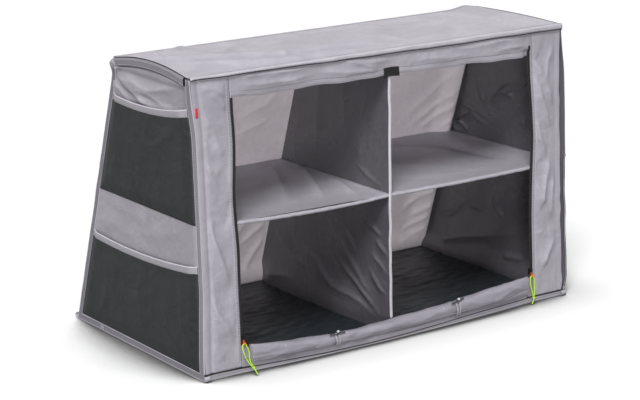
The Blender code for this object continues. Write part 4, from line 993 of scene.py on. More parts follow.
def sidePlace(sideName, side):
    def place(across, up):
        z = up * sideTopZ
        near = frontY(z) + 0.0123 - seamSlip(z, side)
        far = rearY(z) - 0.0019
        y = near + across * (far - near)
        z = np.where(up < 1, z, z + barRise(y, side))
        z = z + barRise(y, side) * smooth((up - 0.97) / 0.03) * (up < 1)
        depth = sideCloth["underSleeve"] * smooth((z - sideCloth["sleeveFoot"]) / 0.02)
        depth = depth * smooth((sideTopZ + 0.004 - z) / 0.012) * fadeEnds(across, 12)
        lift = folds(y, z, sideCloth["swags"]) * smooth((z - sideCloth["sleeveFoot"] + 0.004) / 0.01)
        lift += folds(y, z, sideCloth["band"]) + crumple(y, z, 31, 30, 0.0006, (0.03, 0.08), (0.005, 0.01))
        lift = np.minimum(sideCloth["foldHeight"] * lift, sideCloth["foldLimit"])
        x = sideFace - depth + lift * fadeEnds(across, 14)
        return side * (x + earOut(y, z, sideName) - cornerDrop(y, z, side)), y, z
    return place


lining = {
    "inside": 0.0016, "overTunnel": 0.018, "foldHeight": 2.7,
    "creases": [   # as y and z
        ([(140, 330), (63, 379), (34, 366), (0, 352)], 4, 7, 4),
        ([(120, 400), (86, 394), (51, 388), (5, 370)], 3.6, 6, 4),
        ([(120, 365), (103, 350), (80, 328)], 3.4, 5, 3),
        ([(150, 346), (134, 334), (118, 320)], 3.2, 5, 3),
        ([(10, 410), (-16, 429), (-60, 463), (-95, 482)], 4, 12, 5),
        ([(-36, 460), (-60, 452), (-90, 446)], 3.4, 7, 4),
        ([(50, 470), (30, 430), (20, 400)], 3, 10, 6),
        ([(210, 36), (153, 40), (81, 62), (-6, 84), (-120, 122)], 8, 9, 34),
        ([(0, 182), (-22, 166), (-62, 141)], 3.6, 7, 4),
        ([(-45, 44), (-90, 50), (-140, 55)], 3.2, 7, 5),
        ([(120, 190), (70, 150), (10, 145)], 3, 10, 7),
        ([(200, 90), (140, 110), (80, 160)], 2.8, 8, 8),
    ],
}


def liningPlace(sideName, side):
    outer = sidePlace(sideName, side)

    def place(across, up):
        x, y, z = outer(across, up)
        # At the bottom it runs on over the tunnel of the lower bar
        flatX = sideFace - lining["inside"] - lining["overTunnel"] * smooth((0.058 - z) / 0.05)
        flatX = flatX - sideCloth["underSleeve"] * smooth((z - sideCloth["sleeveFoot"]) / 0.02)
        lift = lining["foldHeight"] * folds(y, z, lining["creases"])
        lift = lift + crumple(y, z, 33, 90, 0.0026, (0.02, 0.08), (0.003, 0.007))
        edge = fadeEnds(across, 16) * smooth(up * 16)
        z = np.where(up >= 1, coverTopZ - 0.001, z)
        return side * (flatX - cornerDrop(y, z, side) - np.clip(lift, 0, None) * edge), y, z
    return place


def addSide(sideName, side):
    place = sidePlace(sideName, side)
    cloth = gridPiece(sideName + "_side_cloth", place, steps(0, 1, 0.011),
                      np.concatenate([steps(0, 0.88, 0.012), steps(0.88, 1, 0.0035)[1:]]),
                      "cover", flat=flatSide, flip=side > 0, thick=0.0008)
    settle(cloth, "cover", sideName + "_side_panel")
    inside = gridPiece(sideName + "_side_lining", liningPlace(sideName, side), steps(0, 1, 0.007),
                       steps(0, 1, 0.0058), "dark", flat=flatSide, flip=side < 0, thick=0.0006)
    settle(inside, "dark")


for sideName, side in sides.items():
    addSide(sideName, side)
print("sides made")

# Front: jambs, header, base webbing and the rolled door

front = {
    "leftFolds": [   # as x and z
        ([(-491, 372), (-474, 335), (-452, 270), (-423, 185)], 4.2, 9, 15),
        ([(-493, 205), (-466, 152), (-431, 90), (-412, 70)], 4, 9, 14),
        ([(-480, 575), (-450, 530), (-430, 450)], 1.8, 12, 16),
        ([(-412, 590), (-440, 610), (-478, 624)], 3, 8, 10),
        ([(-410, 560), (-432, 585), (-460, 612)], 2.2, 7, 8),
        ([(-485, 480), (-455, 430), (-438, 385)], 1.6, 10, 12),
        ([(-490, 100), (-465, 60), (-440, 30)], 2.2, 10, 12),
    ],
    "rightFolds": [
        ([(408, 578), (432, 542), (452, 505), (474, 448)], 4.6, 8, 12),
        ([(407, 545), (425, 505), (444, 455), (468, 392)], 4.2, 8, 12),
        ([(409, 440), (432, 380), (452, 325)], 3.8, 8, 12),
        ([(476, 600), (455, 560), (448, 500)], 2.6, 9, 7),
        ([(410, 300), (438, 232), (472, 175)], 3.4, 9, 13),
        ([(462, 360), (446, 285), (420, 200)], 3.4, 10, 8),
        ([(472, 150), (452, 110), (425, 70)], 3, 10, 9),
        ([(476, 300), (464, 260), (462, 190)], 2.4, 8, 8),
    ],
    "foldHeight": 2.1, "valley": {-1: 0.0022, 1: 0.0007},
    "corner": 0.006, "wrap": 0.011, "tuck": 0.0022,
}
cornerX = sideFace - front["corner"]
flatSpan = cornerX - jambInner
jambSpan = flatSpan + front["corner"] * math.pi / 2 + front["wrap"]


def jambPlace(side):
    def place(s, z):
        arc = np.clip((s - flatSpan) / front["corner"], 0, math.pi / 2)
        beyond = np.clip(s - flatSpan - front["corner"] * math.pi / 2, 0, None)
        y = frontY(z) + front["corner"] * (1 - np.cos(arc)) + beyond
        x = jambInner + np.minimum(s, flatSpan) + front["corner"] * np.sin(arc)
        x = x - cornerDrop(y, z, side) * np.minimum(s / flatSpan, 1)
        lines = front["rightFolds"] if side > 0 else front["leftFolds"]
        lift = front["foldHeight"] * folds(side * x, z, lines)
        lift += crumple(side * x, z, 41 + side, 60, 0.0017, (0.02, 0.08), (0.004, 0.009),
                        -1.0 if side > 0 else -1.05, 1.4)
        lift += 0.0012 * ripple(x, z, 43 + side, 0.09, 0.9)
        room = smooth((s - 0.006) / 0.012) * smooth((flatSpan - 0.01 - s) / 0.012)
        room = room * smooth((coverTopZ - 0.008 - z) / 0.02) * smooth((z - 0.02) / 0.02)
        # The cloth goes round the upright inside: a shallow valley, then a rounded edge
        valley = front["valley"][side] * hill(s, flatSpan - 0.01, 0.0038) * (arc == 0)
        bulge = 0.0012 * np.sin(arc * 2) * (1 + 0.8 * ripple(z, 0 * z, 45 + side, 0.07, 0.0))
        loose = 0.0009 * ripple(z, 0 * z, 47 + side, 0.1, 0.0) * smooth(arc * 3 + 0.2)
        loose = loose * (z < coverTopZ - 0.01)
        y = y - lift * room + valley - bulge * 0.5
        x = x + bulge * 0.6 + loose * np.sin(arc)
        # Round the corner it lies under the edge webbing
        x = x - front["tuck"] * smooth((s - flatSpan - 0.0028) / 0.0045)
        # The inner edge hangs in soft waves with the zip
        x = x + zipWave(z, side) * smooth((0.034 - s) / 0.034)
        return side * x, y - 0.0006, z
    return place


def jambFoot(side):
    # Lowest z of a jamb's cloth, on the base line
    return float(baseLineZ(side * 0.45)) + 0.001


def addJamb(sideName, side):
    place = jambPlace(side)
    us = np.concatenate([steps(0, flatSpan, 0.0026), steps(flatSpan, jambSpan, 0.0016)[1:]])
    cloth = gridPiece(sideName + "_jamb_cloth", place, us, steps(jambFoot(side), coverTopZ, 0.0033),
                      "cover", flat=flatFront, flip=side < 0, thick=0.0008)
    settle(cloth, "cover", f"front_{sideName}_jamb")
    column = steps(0.03, 0.626, 0.004)
    addRow("thread", place, 0.005, column, threadOut)
    addRow("thread", place, 0.0018, column, threadOut)
    zigzag = 0.0085 + 0.0014 * (np.arange(len(column)) % 2)
    addRow("paleThread", place, zigzag, column, threadOut)


header = {
    "folds": [   # as x and z
        ([(-402, 632), (-340, 631), (-250, 626), (-180, 628)], 3.4, 5, 9),
        ([(-400, 612), (-330, 608), (-255, 606), (-180, 612)], 3.4, 6, 9),
        ([(-190, 616), (-110, 604), (-30, 600)], 3.2, 6, 10),
        ([(-130, 630), (-50, 618), (30, 617)], 3, 7, 10),
        ([(40, 600), (110, 608), (180, 600), (260, 606)], 2.6, 7, 10),
        ([(150, 624), (230, 616), (330, 622), (400, 618)], 2.6, 7, 10),
        ([(-360, 594), (-280, 592), (-200, 598)], 2, 6, 6),
        ([(290, 598), (350, 604), (402, 600)], 2.6, 6, 8),
        ([(-20, 604), (-60, 612), (-100, 628)], 2.4, 6, 8),
    ],
    "foldHeight": 1.4, "hem": 0.0115, "tuck": 0.0056,
}


def headerPlace(x, up):
    bottom = headerHem(x) + 0.0012 * np.sin(29 * x + 1) + 0.0008 * np.sin(61 * x)
    z = bottom + up * (coverTopZ - bottom)
    lift = header["foldHeight"] * folds(x, z, header["folds"])
    lift = lift + crumple(x, z, 51, 60, 0.0014, (0.02, 0.08), (0.004, 0.008), 0.0, 1.0)
    end = smooth((jambInner - np.abs(x)) / 0.02)
    room = smooth((coverTopZ - 0.003 - z) / 0.01) * smooth((z - bottom - 0.004) / 0.012)
    sway = 0.0014 * ripple(x, 0 * x, 53, 0.11, 0.0) * smooth((coverTopZ - z) / 0.04)
    y = frontY(z) - 0.0006 - end * (lift * room + sway)
    # The hem is turned up and stitched, so it stands a little prouder
    y = y - 0.0008 * smooth((bottom + header["hem"] - z) / 0.001)
    # Its right end lies behind the open top of the zip, out of the slider's way
    y = y + header["tuck"] * smooth((x - 0.384) / 0.007) * smooth((0.5945 - z) / 0.006)
    return x, y, z


def addHeader():
    half = jambInner - 0.0003
    cloth = gridPiece("header_cloth", headerPlace, steps(-half, half, 0.0034), steps(0, 1, 0.036),
                      "cover", flat=flatFront, thick=0.001)
    settle(cloth, "cover", "front_header")
    row = steps(-half + 0.004, half - 0.004, 0.004)
    high = coverTopZ - cupboard["doorTop"]
    addRow("darkThread", headerPlace, row, header["hem"] / high, threadOut)
    addRow("thread", headerPlace, row, 0.003 / high, threadOut)


# Radius of the black line along the top of the base webbing: painted shadow in the gap under the front cloth
sill = {"shadowLine": 0.0017}


def sillY(x):
    return frontY(0) - sillBulge(x)


def sillPlace(x, up):
    top = baseLineZ(x) - 0.0008
    z = 0.0003 + up * top
    return x, sillY(x) - 0.0006 * np.sin(math.pi * up) + 0.0012 * up, z


def addSill():
    strip = gridPiece("base_webbing", sillPlace, steps(-sideFace, sideFace, 0.005), steps(0, 1, 0.2),
                      "hemTape", flat=flatFront, thick=0.0016)
    settle(strip, "webbing", "front_sill")
    xs = steps(-sideFace, sideFace, 0.006)
    # A black line where the front cloth ends above the webbing: painted shadow
    line = [(x, sillY(x) + 0.0006, baseLineZ(x) + 0.0002) for x in xs]
    shadowLine = tubePiece("base_shadow_line", line, sill["shadowLine"], "hook", 8)
    settle(shadowLine, "black")
    row = steps(-0.49, 0.49, 0.006)
    addRow("darkThread", sillPlace, row, 0.55, threadOut)


# The door is unzipped and rolled down on the sill

roll = {
    "endX": 0.386, "lowX": -0.14, "topLow": 0.0415, "topLeft": 0.06, "topRight": 0.066,
    "depthMiddle": 0.0135, "depthEnd": 0.0065, "fold": 0.0011, "corner": 2.4,
    "ties": {"left": -0.17, "right": 0.164},
    "underZ": 0.01765, "frontZ": 0.01735,   # its underside, and where it leans on the front's slope
    "lowZ": 0.019, "floorZ": 0.017,        # under its ends' middle, and the lowest that cloth may go
    "rounding": 0.003, "meanRadius": 0.018,
    "layers": [   # from the middle of each end outwards: how deep it lies, and its share of the outline
        (0.0005, 0.45), (0.0022, 0.52), (0.0012, 0.6), (0.0006, 0.68), (0.0026, 0.74), (0.001, 0.82),
        (0.0000, 0.9), (0.0006, 0.97),
    ],
    "stitchLine": [(-0.4, 0.029), (-0.323, 0.026), (-0.26, 0.023), (-0.201, 0.021), (-0.141, 0.021),
                   (-0.05, 0.02), (0.04, 0.0165), (0.161, 0.022), (0.261, 0.026), (0.375, 0.038),
                   (0.4, 0.04)],
    "folds": [   # as x along the roll and z up its front
        ([(-370, 20), (-300, 32), (-230, 30)], 2.2, 5, 9),
        ([(-250, 18), (-190, 24), (-150, 36)], 2, 5, 7),
        ([(-130, 34), (-60, 30), (20, 36)], 2, 6, 8),
        ([(20, 26), (80, 34), (150, 44)], 2.2, 6, 8),
        ([(180, 50), (230, 36), (300, 34)], 2.6, 6, 9),
        ([(220, 56), (280, 50), (345, 56)], 2.6, 7, 9),
        ([(260, 30), (320, 44), (376, 52)], 2.6, 6, 8),
        ([(300, 60), (345, 46), (380, 36)], 2.2, 6, 8),
        ([(60, 48), (110, 40), (160, 26)], 1.8, 5, 7),
    ],
}


def rollTop(x):
    left = np.clip((roll["lowX"] - x) / (roll["lowX"] + roll["endX"]), 0, 1)
    right = np.clip((x - roll["lowX"]) / (roll["endX"] - roll["lowX"]), 0, 1)
    return (roll["topLow"] + (roll["topLeft"] - roll["topLow"]) * left ** 1.5
            + (roll["topRight"] - roll["topLow"]) * right ** 1.5)


def rollHalfDepth(x):
    far = np.abs(x) / roll["endX"]
    return roll["depthMiddle"] + (roll["depthEnd"] - roll["depthMiddle"]) * smooth((far - 0.75) / 0.25)


def rollMiddleY(x):
    return frontY(roll["frontZ"]) - 0.6 * sillBulge(x) - 0.001


def rollPlace(x, angle, out=0.0, folded=True):
    # Angle 0 looks forward, a quarter turn looks up
    low = roll["underZ"] + roll["fold"]
    high = rollTop(x)
    forward, upward = np.cos(angle), np.sin(angle)
    reach = (np.abs(forward) ** roll["corner"] + np.abs(upward) ** roll["corner"]) ** (-1 / roll["corner"])
    swell = out
    if folded:
        nearTie = np.minimum(np.abs(x - roll["ties"]["left"]), np.abs(x - roll["ties"]["right"]))
        loose = smooth((nearTie - 0.007) / 0.02)
        upFront = (low + high) / 2 + (high - low) / 2 * reach * upward
        lift = folds(x, upFront, roll["folds"]) * (forward > -0.2)
        lift = lift + crumple(x, angle * 0.02, 61, 60, 0.001, (0.02, 0.07), (0.003, 0.006), 0.2, 1.2)
        lift = lift + roll["fold"] * np.sin(52 * x + 2 * angle) * np.sin(23 * x - angle)
        pinch = 0.0016 * hill(nearTie, 0, 0.01)
        swell = swell + lift * loose - pinch
    y = rollMiddleY(x) - (rollHalfDepth(x) + swell) * reach * forward
    z = (low + high) / 2 + ((high - low) / 2 + swell) * reach * upward
    return x, y, np.maximum(z, roll["floorZ"])


def rollScaled(x, angle, scale, middleX):
    # The roll's outline drawn in towards its middle line
    y, z = rollPlace(x, angle)[1:]
    middleY, middleZ = rollMiddleY(middleX), (roll["lowZ"] + rollTop(middleX)) / 2
    return middleY + (y - middleY) * scale, middleZ + (z - middleZ) * scale


def addRoll():
    end, rounding, layers = roll["endX"], roll["rounding"], roll["layers"]

    def place(s, angle):
        x = np.clip(s, -end + rounding, end - rounding)
        over = np.clip(np.abs(s) - end + rounding, 0, None)
        scale = np.interp(over, [0, rounding / 2, rounding], [1.0, 0.985, 0.93])
        return np.sign(s) * (np.abs(x) + over), *rollScaled(x, angle, scale, x)

    turns = np.linspace(0, 2 * math.pi, 61)
    # The roll and its ends wear the darker copy of the cover: painted shade
    body = gridPiece("door_roll_cloth", place, steps(-end, end, 0.0036), turns, "door")
    scaleUv(body.data, 1, roll["meanRadius"])
    closeMesh(body.data)
    ends = []
    for sign in (-1, 1):
        def layerPlace(turn, ring, sign=sign):
            # The ends show the layers of the rolled cloth
            inward, scale = [np.interp(ring, range(len(layers)), part) for part in zip(*layers)]
            x = sign * (end - 0.0003 - inward)
            return x, *rollScaled(np.full(x.shape, sign * (end - rounding)), turn, scale, x)
        disc = gridPiece("layers", layerPlace, turns, range(len(layers)), "door", flip=sign < 0, wrap=True)
        fillCentre(disc.data)
        ends.append(disc)
    whole = joinPieces("door_roll_cloth", [body] + ends)
    settle(whole, "cover", "door_roll")


def addSkirt():
    stitch = np.array(roll["stitchLine"])

    def skirtTop(x):
        # At its two ends it reaches up beside the roll, where the zip is still closed
        closed = smooth((np.abs(x) - 0.382) / 0.01)
        return 0.55 * rollTop(x) + (0.06 - 0.55 * rollTop(x)) * closed

    def skirtPlace(x, up):
        # The door cloth below the roll: from its front face down to the base line
        low = baseLineZ(x) + 0.0012
        high = skirtTop(x)
        z = low + up * (high - low)
        middle = (roll["lowZ"] + rollTop(x)) / 2
        half = (rollTop(x) - roll["lowZ"]) / 2
        part = np.clip(np.abs(middle - z) / half, 0, 0.94)
        rollFront = rollMiddleY(x) - rollHalfDepth(x) * (1 - part ** roll["corner"]) ** (1 / roll["corner"])
        rollFront = rollFront - 0.0016
        base = sillY(x) - 0.002
        blend = smooth((z - low) / (0.55 * (high - low)))
        y = base + (np.minimum(rollFront, base) - base) * blend
        closed = smooth((np.abs(x) - 0.38) / 0.008)
        y = y * (1 - closed) + (frontY(z) - 0.0006) * closed
        z2 = np.interp(x, stitch[:, 0], stitch[:, 1])
        groove = 0.001 * hill(z, z2, 0.0022)
        lift = crumple(x, z, 63, 50, 0.0012, (0.03, 0.09), (0.003, 0.006), 0.12, 0.8)
        lift += folds(x, z, roll["folds"]) * smooth((z - z2) / 0.006)
        return x, y - (lift * smooth(up * 5) - groove) * (1 - closed), z

    # The skirt wears the darker copy of the cover too: painted shade
    skirt = gridPiece("door_skirt_cloth", skirtPlace, steps(-0.4045, 0.4045, 0.0036), steps(0, 1, 0.045),
                      "door", flat=flatFront, thick=0.0007)
    settle(skirt, "cover")
    xs = steps(-0.396, 0.396, 0.004)
    high = skirtTop(xs) - baseLineZ(xs)
    up = (np.interp(xs, stitch[:, 0], stitch[:, 1]) - baseLineZ(xs)) / high
    addRow("darkThread", skirtPlace, xs, up, (0, -0.0006, 0))


for sideName, side in sides.items():
    addJamb(sideName, side)
addHeader()
addSill()
addRoll()
addSkirt()
print("front made")


# Inside: groundsheet, divider and shelves

inside = {
    "dividerFolds": [   # as y and z
        ([(90, 130), (18, 113), (-15, 85), (-54, 67), (-117, 61), (-161, 51), (-215, 22)], 5.8, 16, 4.5),
        ([(225, 26), (147, 43), (95, 47)], 5, 12, 4.5),
        ([(-55, 140), (-99, 113), (-143, 93), (-186, 65), (-225, 32)], 4.4, 9, 4),
        ([(-20, 230), (-90, 160), (-150, 110), (-220, 50)], 3.4, 12, 6),
        ([(-75, 220), (-106, 193), (-135, 160)], 3.6, 6, 3.2),
        ([(-145, 244), (-199, 234), (-230, 216)], 3.8, 6, 3.2),
        ([(-200, 212), (-235, 189), (-256, 174)], 3.6, 6, 3.2),
        ([(-185, 176), (-229, 153), (-254, 128)], 3.4, 6, 3.4),
        ([(-178, 138), (-223, 101), (-254, 86)], 3.4, 6, 3.4),
        ([(190, 150), (100, 92), (30, 80)], 3, 14, 9),
        ([(160, 250), (100, 240), (40, 200)], 2.6, 12, 12),
        ([(0, 600), (10, 480), (20, 350)], 2.4, 22, 14),
        ([(-90, 610), (-85, 500), (-95, 380)], 2.4, 18, 14),
        ([(-170, 560), (-150, 450), (-130, 350)], 2.6, 12, 10),
        ([(-130, 366), (-181, 345), (-228, 330)], 3.4, 6, 3.5),
    ],
    "dividerFold": 1.5, "shelfFold": 2.2,   # their folds are made this many times as high
    "bulge": 0.011, "floorFold": 0.0013, "lean": 0.013,
    "tapeWide": 0.0036, "tapeDeep": 0.003,   # half the folded tape on the divider's front edge
    "outerX": 0.4962, "roundPost": 0.017,   # a shelf's outer edge, and how it gives way to the uprights
    "hemRadius": 0.0042, "sag": 0.012, "frontSag": {"left": 0.006, "right": 0.002},
    "frontLift": {"left": 0.0085, "right": 0.0},
    "leftRays": [   # folds of the shelves, as x and y
        ([(-12, 145), (-80, 86), (-127, -10), (-200, -150)], 5.8, 14, 45),
        ([(-6, 100), (-17, 57), (-68, -55), (-130, -190)], 5.6, 12, 24),
        ([(-8, -20), (-30, -110), (-60, -215)], 3.6, 12, 16),
        ([(-120, 135), (-250, 90), (-400, 40)], 3.6, 24, 26),
    ],
    "rightRays": [
        ([(350, 120), (415, 40), (428, -60), (430, -170)], -4.6, 20, 30),
        ([(240, 140), (330, 60), (400, -20)], 2.6, 20, 20),
        ([(60, 90), (160, 0), (300, -80)], 2, 30, 24),
        ([(120, -120), (250, -160), (400, -170)], 1.4, 22, 30),
    ],
}


def dividerLean(z):
    # The front edge leans towards the right at the top
    return inside["lean"] * smooth((z - 0.02) / 0.62)


def dividerPlace(across, z):
    near = frontY(z) + 0.0036
    far = rearY(z) - 0.003
    y = near + across * (far - near)
    room = smooth(across * 14) * smooth((1 - across) * 12) * smooth((coverTopZ - z) / 0.03)
    shelfGap = np.abs(z - shelfZ + 0.006)
    lift = inside["dividerFold"] * folds(y, z, inside["dividerFolds"]) * smooth(shelfGap / 0.015)
    lift += crumple(y, z, 71, 90, 0.0018, (0.02, 0.08), (0.003, 0.007), 2.2, 2.2) * smooth(shelfGap / 0.01)
    low = inside["bulge"] * hill(z, 0.018, 0.055) * smooth((across - 0.12) / 0.3)
    low = low * smooth((1 - across) / 0.12)
    return dividerX + dividerLean(z) * (1 - across) - lift * room - low, y, z


def addDivider():
    cloth = gridPiece("divider_cloth", dividerPlace, steps(0, 1, 0.01), steps(0.0016, coverTopZ, 0.0022),
                      "dark", flat=flatSide, thick=0.0008)
    settle(cloth, "dark", "divider_panel")

    def tapePlace(across, z):
        # Folded tape over the divider's front edge
        turn = (across - 0.5) * math.pi
        wave = 0.0007 * ripple(z, 0 * z, 73, 0.12, 0.0)
        x = dividerX + dividerLean(z) + inside["tapeWide"] * np.sin(turn) + wave
        y = frontY(z) + 0.0044 - inside["tapeDeep"] * np.cos(turn) ** 0.7
        return x, y, z

    top = float(headerHem(np.array(dividerX))) - 0.0003
    tape = gridPiece("divider_edge_tape", tapePlace, np.linspace(0.0, 1.0, 11),
                     steps(0.04, top, 0.005), "paleTape",
                     flat=lambda x, y, z: (z, x - dividerX + 0.004), thick=0.001)
    settle(tape, "pale_binding", "divider_front_binding")
    addRow("paleThread", tapePlace, 0.3, steps(0.044, top - 0.002, 0.005), (-0.0003, -0.0002, 0))


def floorPlace(x, t):
    front = sillY(x) + 0.0028
    rear = rearY(0) - 0.0022
    y = front + t * (rear - front)
    edge = fadeEnds(t, 12) * smooth((0.4965 - np.abs(x)) / 0.02)
    lift = inside["floorFold"] * (1 + ripple(x, y, 81, 0.03, 1.45, 0.25, 7))
    crease = crumple(x, y, 82, 60, 1.0, (0.05, 0.16), (0.003, 0.007), 0.15, 1.0)
    lift = lift + 0.0022 * np.clip(crease, 0, 1.2)
    return x, y, 0.0014 + lift * edge


def addFloor():
    cloth = gridPiece("groundsheet", floorPlace, steps(-0.4965, 0.4965, 0.0055), steps(0, 1, 0.009),
                      "ground", flat=flatTop, thick=0.0008)
    settle(cloth, "groundsheet", "floor_panel")


def shelfPlace(sideName, side):
    innerX = side * dividerX + 0.0011
    lean = side * float(dividerLean(shelfZ))
    hemY = frontY(shelfZ) + 0.0039 + inside["hemRadius"]
    rear = rearY(shelfZ) - 0.0024

    def place(across, deep):
        y = hemY + deep * (rear - hemY)
        atFront = 1 - smooth((y - hemY - 0.014) / 0.006)
        atRear = smooth((y - rear + 0.024) / 0.006)
        outerX = inside["outerX"] - inside["roundPost"] * np.maximum(atFront, atRear)
        inner = innerX + lean * (1 - deep)
        x = side * (inner + across * (outerX - inner))
        sag = arch(across) * (inside["frontSag"][sideName] * (1 - deep) + inside["sag"] * arch(deep))
        lines = inside[sideName + "Rays"]
        edge = fadeEnds(across, 20) * smooth((1 - deep) * 16)
        lift = inside["shelfFold"] * folds(x, y, lines) * smooth(deep * 6)
        lift = lift + crumple(x, y, 84 + side, 24, 0.0007, (0.03, 0.1), (0.006, 0.012)) * smooth(deep * 9)
        raised = inside["frontLift"][sideName] * smooth(across) * (1 - deep)
        return x, y, shelfZ - sag + raised + (lift - 0.0015) * edge
    return place, innerX + lean, hemY


def addShelf(sideName, side):
    place, innerX, hemY = shelfPlace(sideName, side)
    cloth = gridPiece(sideName + "_shelf_cloth", place, steps(0, 1, 0.0095), steps(0, 1, 0.0115),
                      "shelf", flat=flatTop, flip=side < 0, thick=0.0009)

    def hemPlace(across, turn):
        x = side * (innerX + across * (inside["outerX"] - inside["roundPost"] - innerX))
        sag = arch(across) * inside["frontSag"][sideName]
        radius = inside["hemRadius"] * (1 + 0.1 * ripple(x, turn * 0.01, 86 + side, 0.035, 0.3))
        y = hemY + radius * np.cos(turn)
        raised = inside["frontLift"][sideName] * smooth(across)
        return x, y, shelfZ - sag + raised - inside["hemRadius"] + radius * np.sin(turn)

    hem = gridPiece(sideName + "_shelf_hem", hemPlace, steps(0, 1, 0.009), np.linspace(0, 2 * math.pi, 17),
                    "shelf", flat=lambda x, y, z: (x, y + z), flip=side > 0)
    closeMesh(hem.data, caps=True)
    settle(cloth, "cover", sideName + "_shelf_panel")
    settle(hem, "cover")
    row = steps(0.01, 0.99, 0.009)
    addRow("paleThread", hemPlace, row, math.radians(118), (0, -0.0002, 0.0002))
    addRow("paleThread", place, row, 0.018, (0, 0, 0.0003))


addDivider()
addFloor()
for sideName, side in sides.items():
    addShelf(sideName, side)
print("inside made")


# Side pockets, each with its curved hem tape

pockets = {
    "levels": {"lower": (0.0168, 0.232, 0.246), "upper": (0.333, 0.56, 0.574)},
    "dip": 0.012, "puff": 0.007, "slope": 0.026, "hem": 0.0148,
    "creases": {
        "lower": [
            ([(-205, 30), (-150, 80), (-110, 160)], 3, 10, 12),
            ([(-225, 25), (-200, 90), (-190, 180)], 2.6, 8, 10),
            ([(180, 30), (130, 70), (110, 140)], 2.4, 10, 12),
            ([(-50, 40), (-20, 110), (-30, 190)], 2, 14, 16),
            ([(60, 200), (90, 120), (80, 60)], 1.8, 14, 12),
        ],
        "upper": [
            ([(-190, 350), (-130, 400), (-90, 470)], 2.2, 12, 14),
            ([(100, 350), (60, 410), (50, 500)], 2, 12, 14),
            ([(-200, 540), (-120, 480), (-20, 460)], 1.8, 14, 16),
            ([(-30, 350), (-40, 430), (-10, 530)], 1.6, 16, 14),
        ],
    },
}


def pocketPlace(side, level):
    bottom, rearTop, frontTop = pockets["levels"][level]

    def place(across, up):
        top = frontTop + across * (rearTop - frontTop) - pockets["dip"] * arch(across)
        z = bottom + up * (top - bottom)
        near = frontY(z) + 0.0166 - seamSlip(z, side)
        far = rearY(z) - 0.0166
        y = near + across * (far - near)
        edge = np.minimum(np.minimum(y - near, far - y), z - bottom)
        puff = pockets["puff"] * smooth(edge / pockets["slope"])
        room = smooth(edge / 0.02) * smooth((top - z - 0.012) / 0.02)
        lift = folds(y, z, pockets["creases"][level]) - 0.0008
        lift += crumple(y, z, 91 + side, 40, 0.001, (0.03, 0.1), (0.004, 0.01), 1.4, 2.0)
        x = sideFace + 0.0012 + puff + np.clip(lift, -0.0016, 0.0026) * room
        return side * (x - cornerDrop(y, z, side)), y, z
    return place


def addPocket(sideName, side, level):
    place = pocketPlace(side, level)
    cloth = gridPiece(f"{sideName}_{level}_pocket_cloth", place, steps(0, 1, 0.0125), steps(0, 1, 0.022),
                      "pocket", flat=flatSide, flip=side > 0, thick=0.0008)
    bottom, rearTop, frontTop = pockets["levels"][level]
    high = (rearTop + frontTop) / 2 - bottom
    share = pockets["hem"] / high

    def hemPlace(across, up):
        x, y, z = place(across, 1.001 - share + up * (share + 0.002))
        return x + side * (0.0011 - 0.001 * np.abs(2 * up - 1) ** 6), y, z

    hem = gridPiece(f"{sideName}_{level}_pocket_hem", hemPlace, steps(0, 1, 0.0125), np.linspace(0, 1, 9),
                    "hemTape", flip=side > 0, thick=0.0007)
    scaleUv(hem.data, 0.36 if level == "upper" else 0.44, pockets["hem"])
    settle(cloth, "black", f"{sideName}_{level}_pocket")
    settle(hem, "webbing")
    row = steps(0.01, 0.99, 0.0105)
    for up in (0.12, 0.88):
        addRow("thread", hemPlace, row, up, (side * 0.0003, 0, 0))
    if level == "upper":
        addRow("darkThread", place, row, 0.016, (side * 0.0003, 0, 0))
        addRow("darkThread", place, row, 0.036, (side * 0.0003, 0, 0))


# Webbing round each side, and the ribbed sleeve of each springy bar

edging = {
    "width": 0.0165, "station": 0.007, "ridge": 0.0005, "outX": 0.4998,
    "fin": 0.0058, "finHigh": 0.334, "seamLine": 0.0088,   # the pocket's caught edge, and a seam's line
}


def edgingPlace(sideName, side):
    top, width = sideTopZ, edging["width"]
    outer = [(rearY(top), top), (rearY(0), 0.0), (frontY(0), 0.0), (frontY(top), top + 0.018)]
    inner = [(rearY(top) - width, top), (rearY(width) - width * 1.05, width),
             (frontY(width) + width, width), (frontY(top) + width, top + 0.018)]
    lengths = [math.dist(a, b) for a, b in zip(outer, outer[1:])]
    marks = np.concatenate([[0], np.cumsum(lengths)])
    outer, inner = np.array(outer), np.array(inner)

    def place(s, v):
        across = v / width
        outY, outZ = np.interp(s, marks, outer[:, 0]), np.interp(s, marks, outer[:, 1])
        inY, inZ = np.interp(s, marks, inner[:, 0]), np.interp(s, marks, inner[:, 1])
        y = outY + across * (inY - outY)
        z = outZ + across * (inZ - outZ)
        wave = 0.0005 * ripple(s, 0 * s, 95 + side, 0.1, 0.0)
        ridges = edging["ridge"] * (hill(across, 0.09, 0.07) + hill(across, 0.91, 0.07))
        onFront = s > marks[2]
        y = np.where(onFront, y - seamSlip(z, side) * across, y)
        loose = smooth((0.642 - z) / 0.14) * smooth(z / 0.05) * (1 + 0.06 * ripple(z, 0 * z, 99, 0.12, 0.0))
        # The lower pocket's cloth takes its outer part below the middle
        loose = loose * (1 - 0.28 * smooth((0.336 - z) / 0.012))
        flange = np.where(onFront, corners[side]["flange"] * loose * (1 - across) ** 1.3, 0)
        x = edging["outX"] + ridges + wave * 0.6 + earOut(y, z, sideName) - cornerDrop(y, z, side) + flange
        return side * x, y, z + wave * (z > 0.03)
    return place, marks


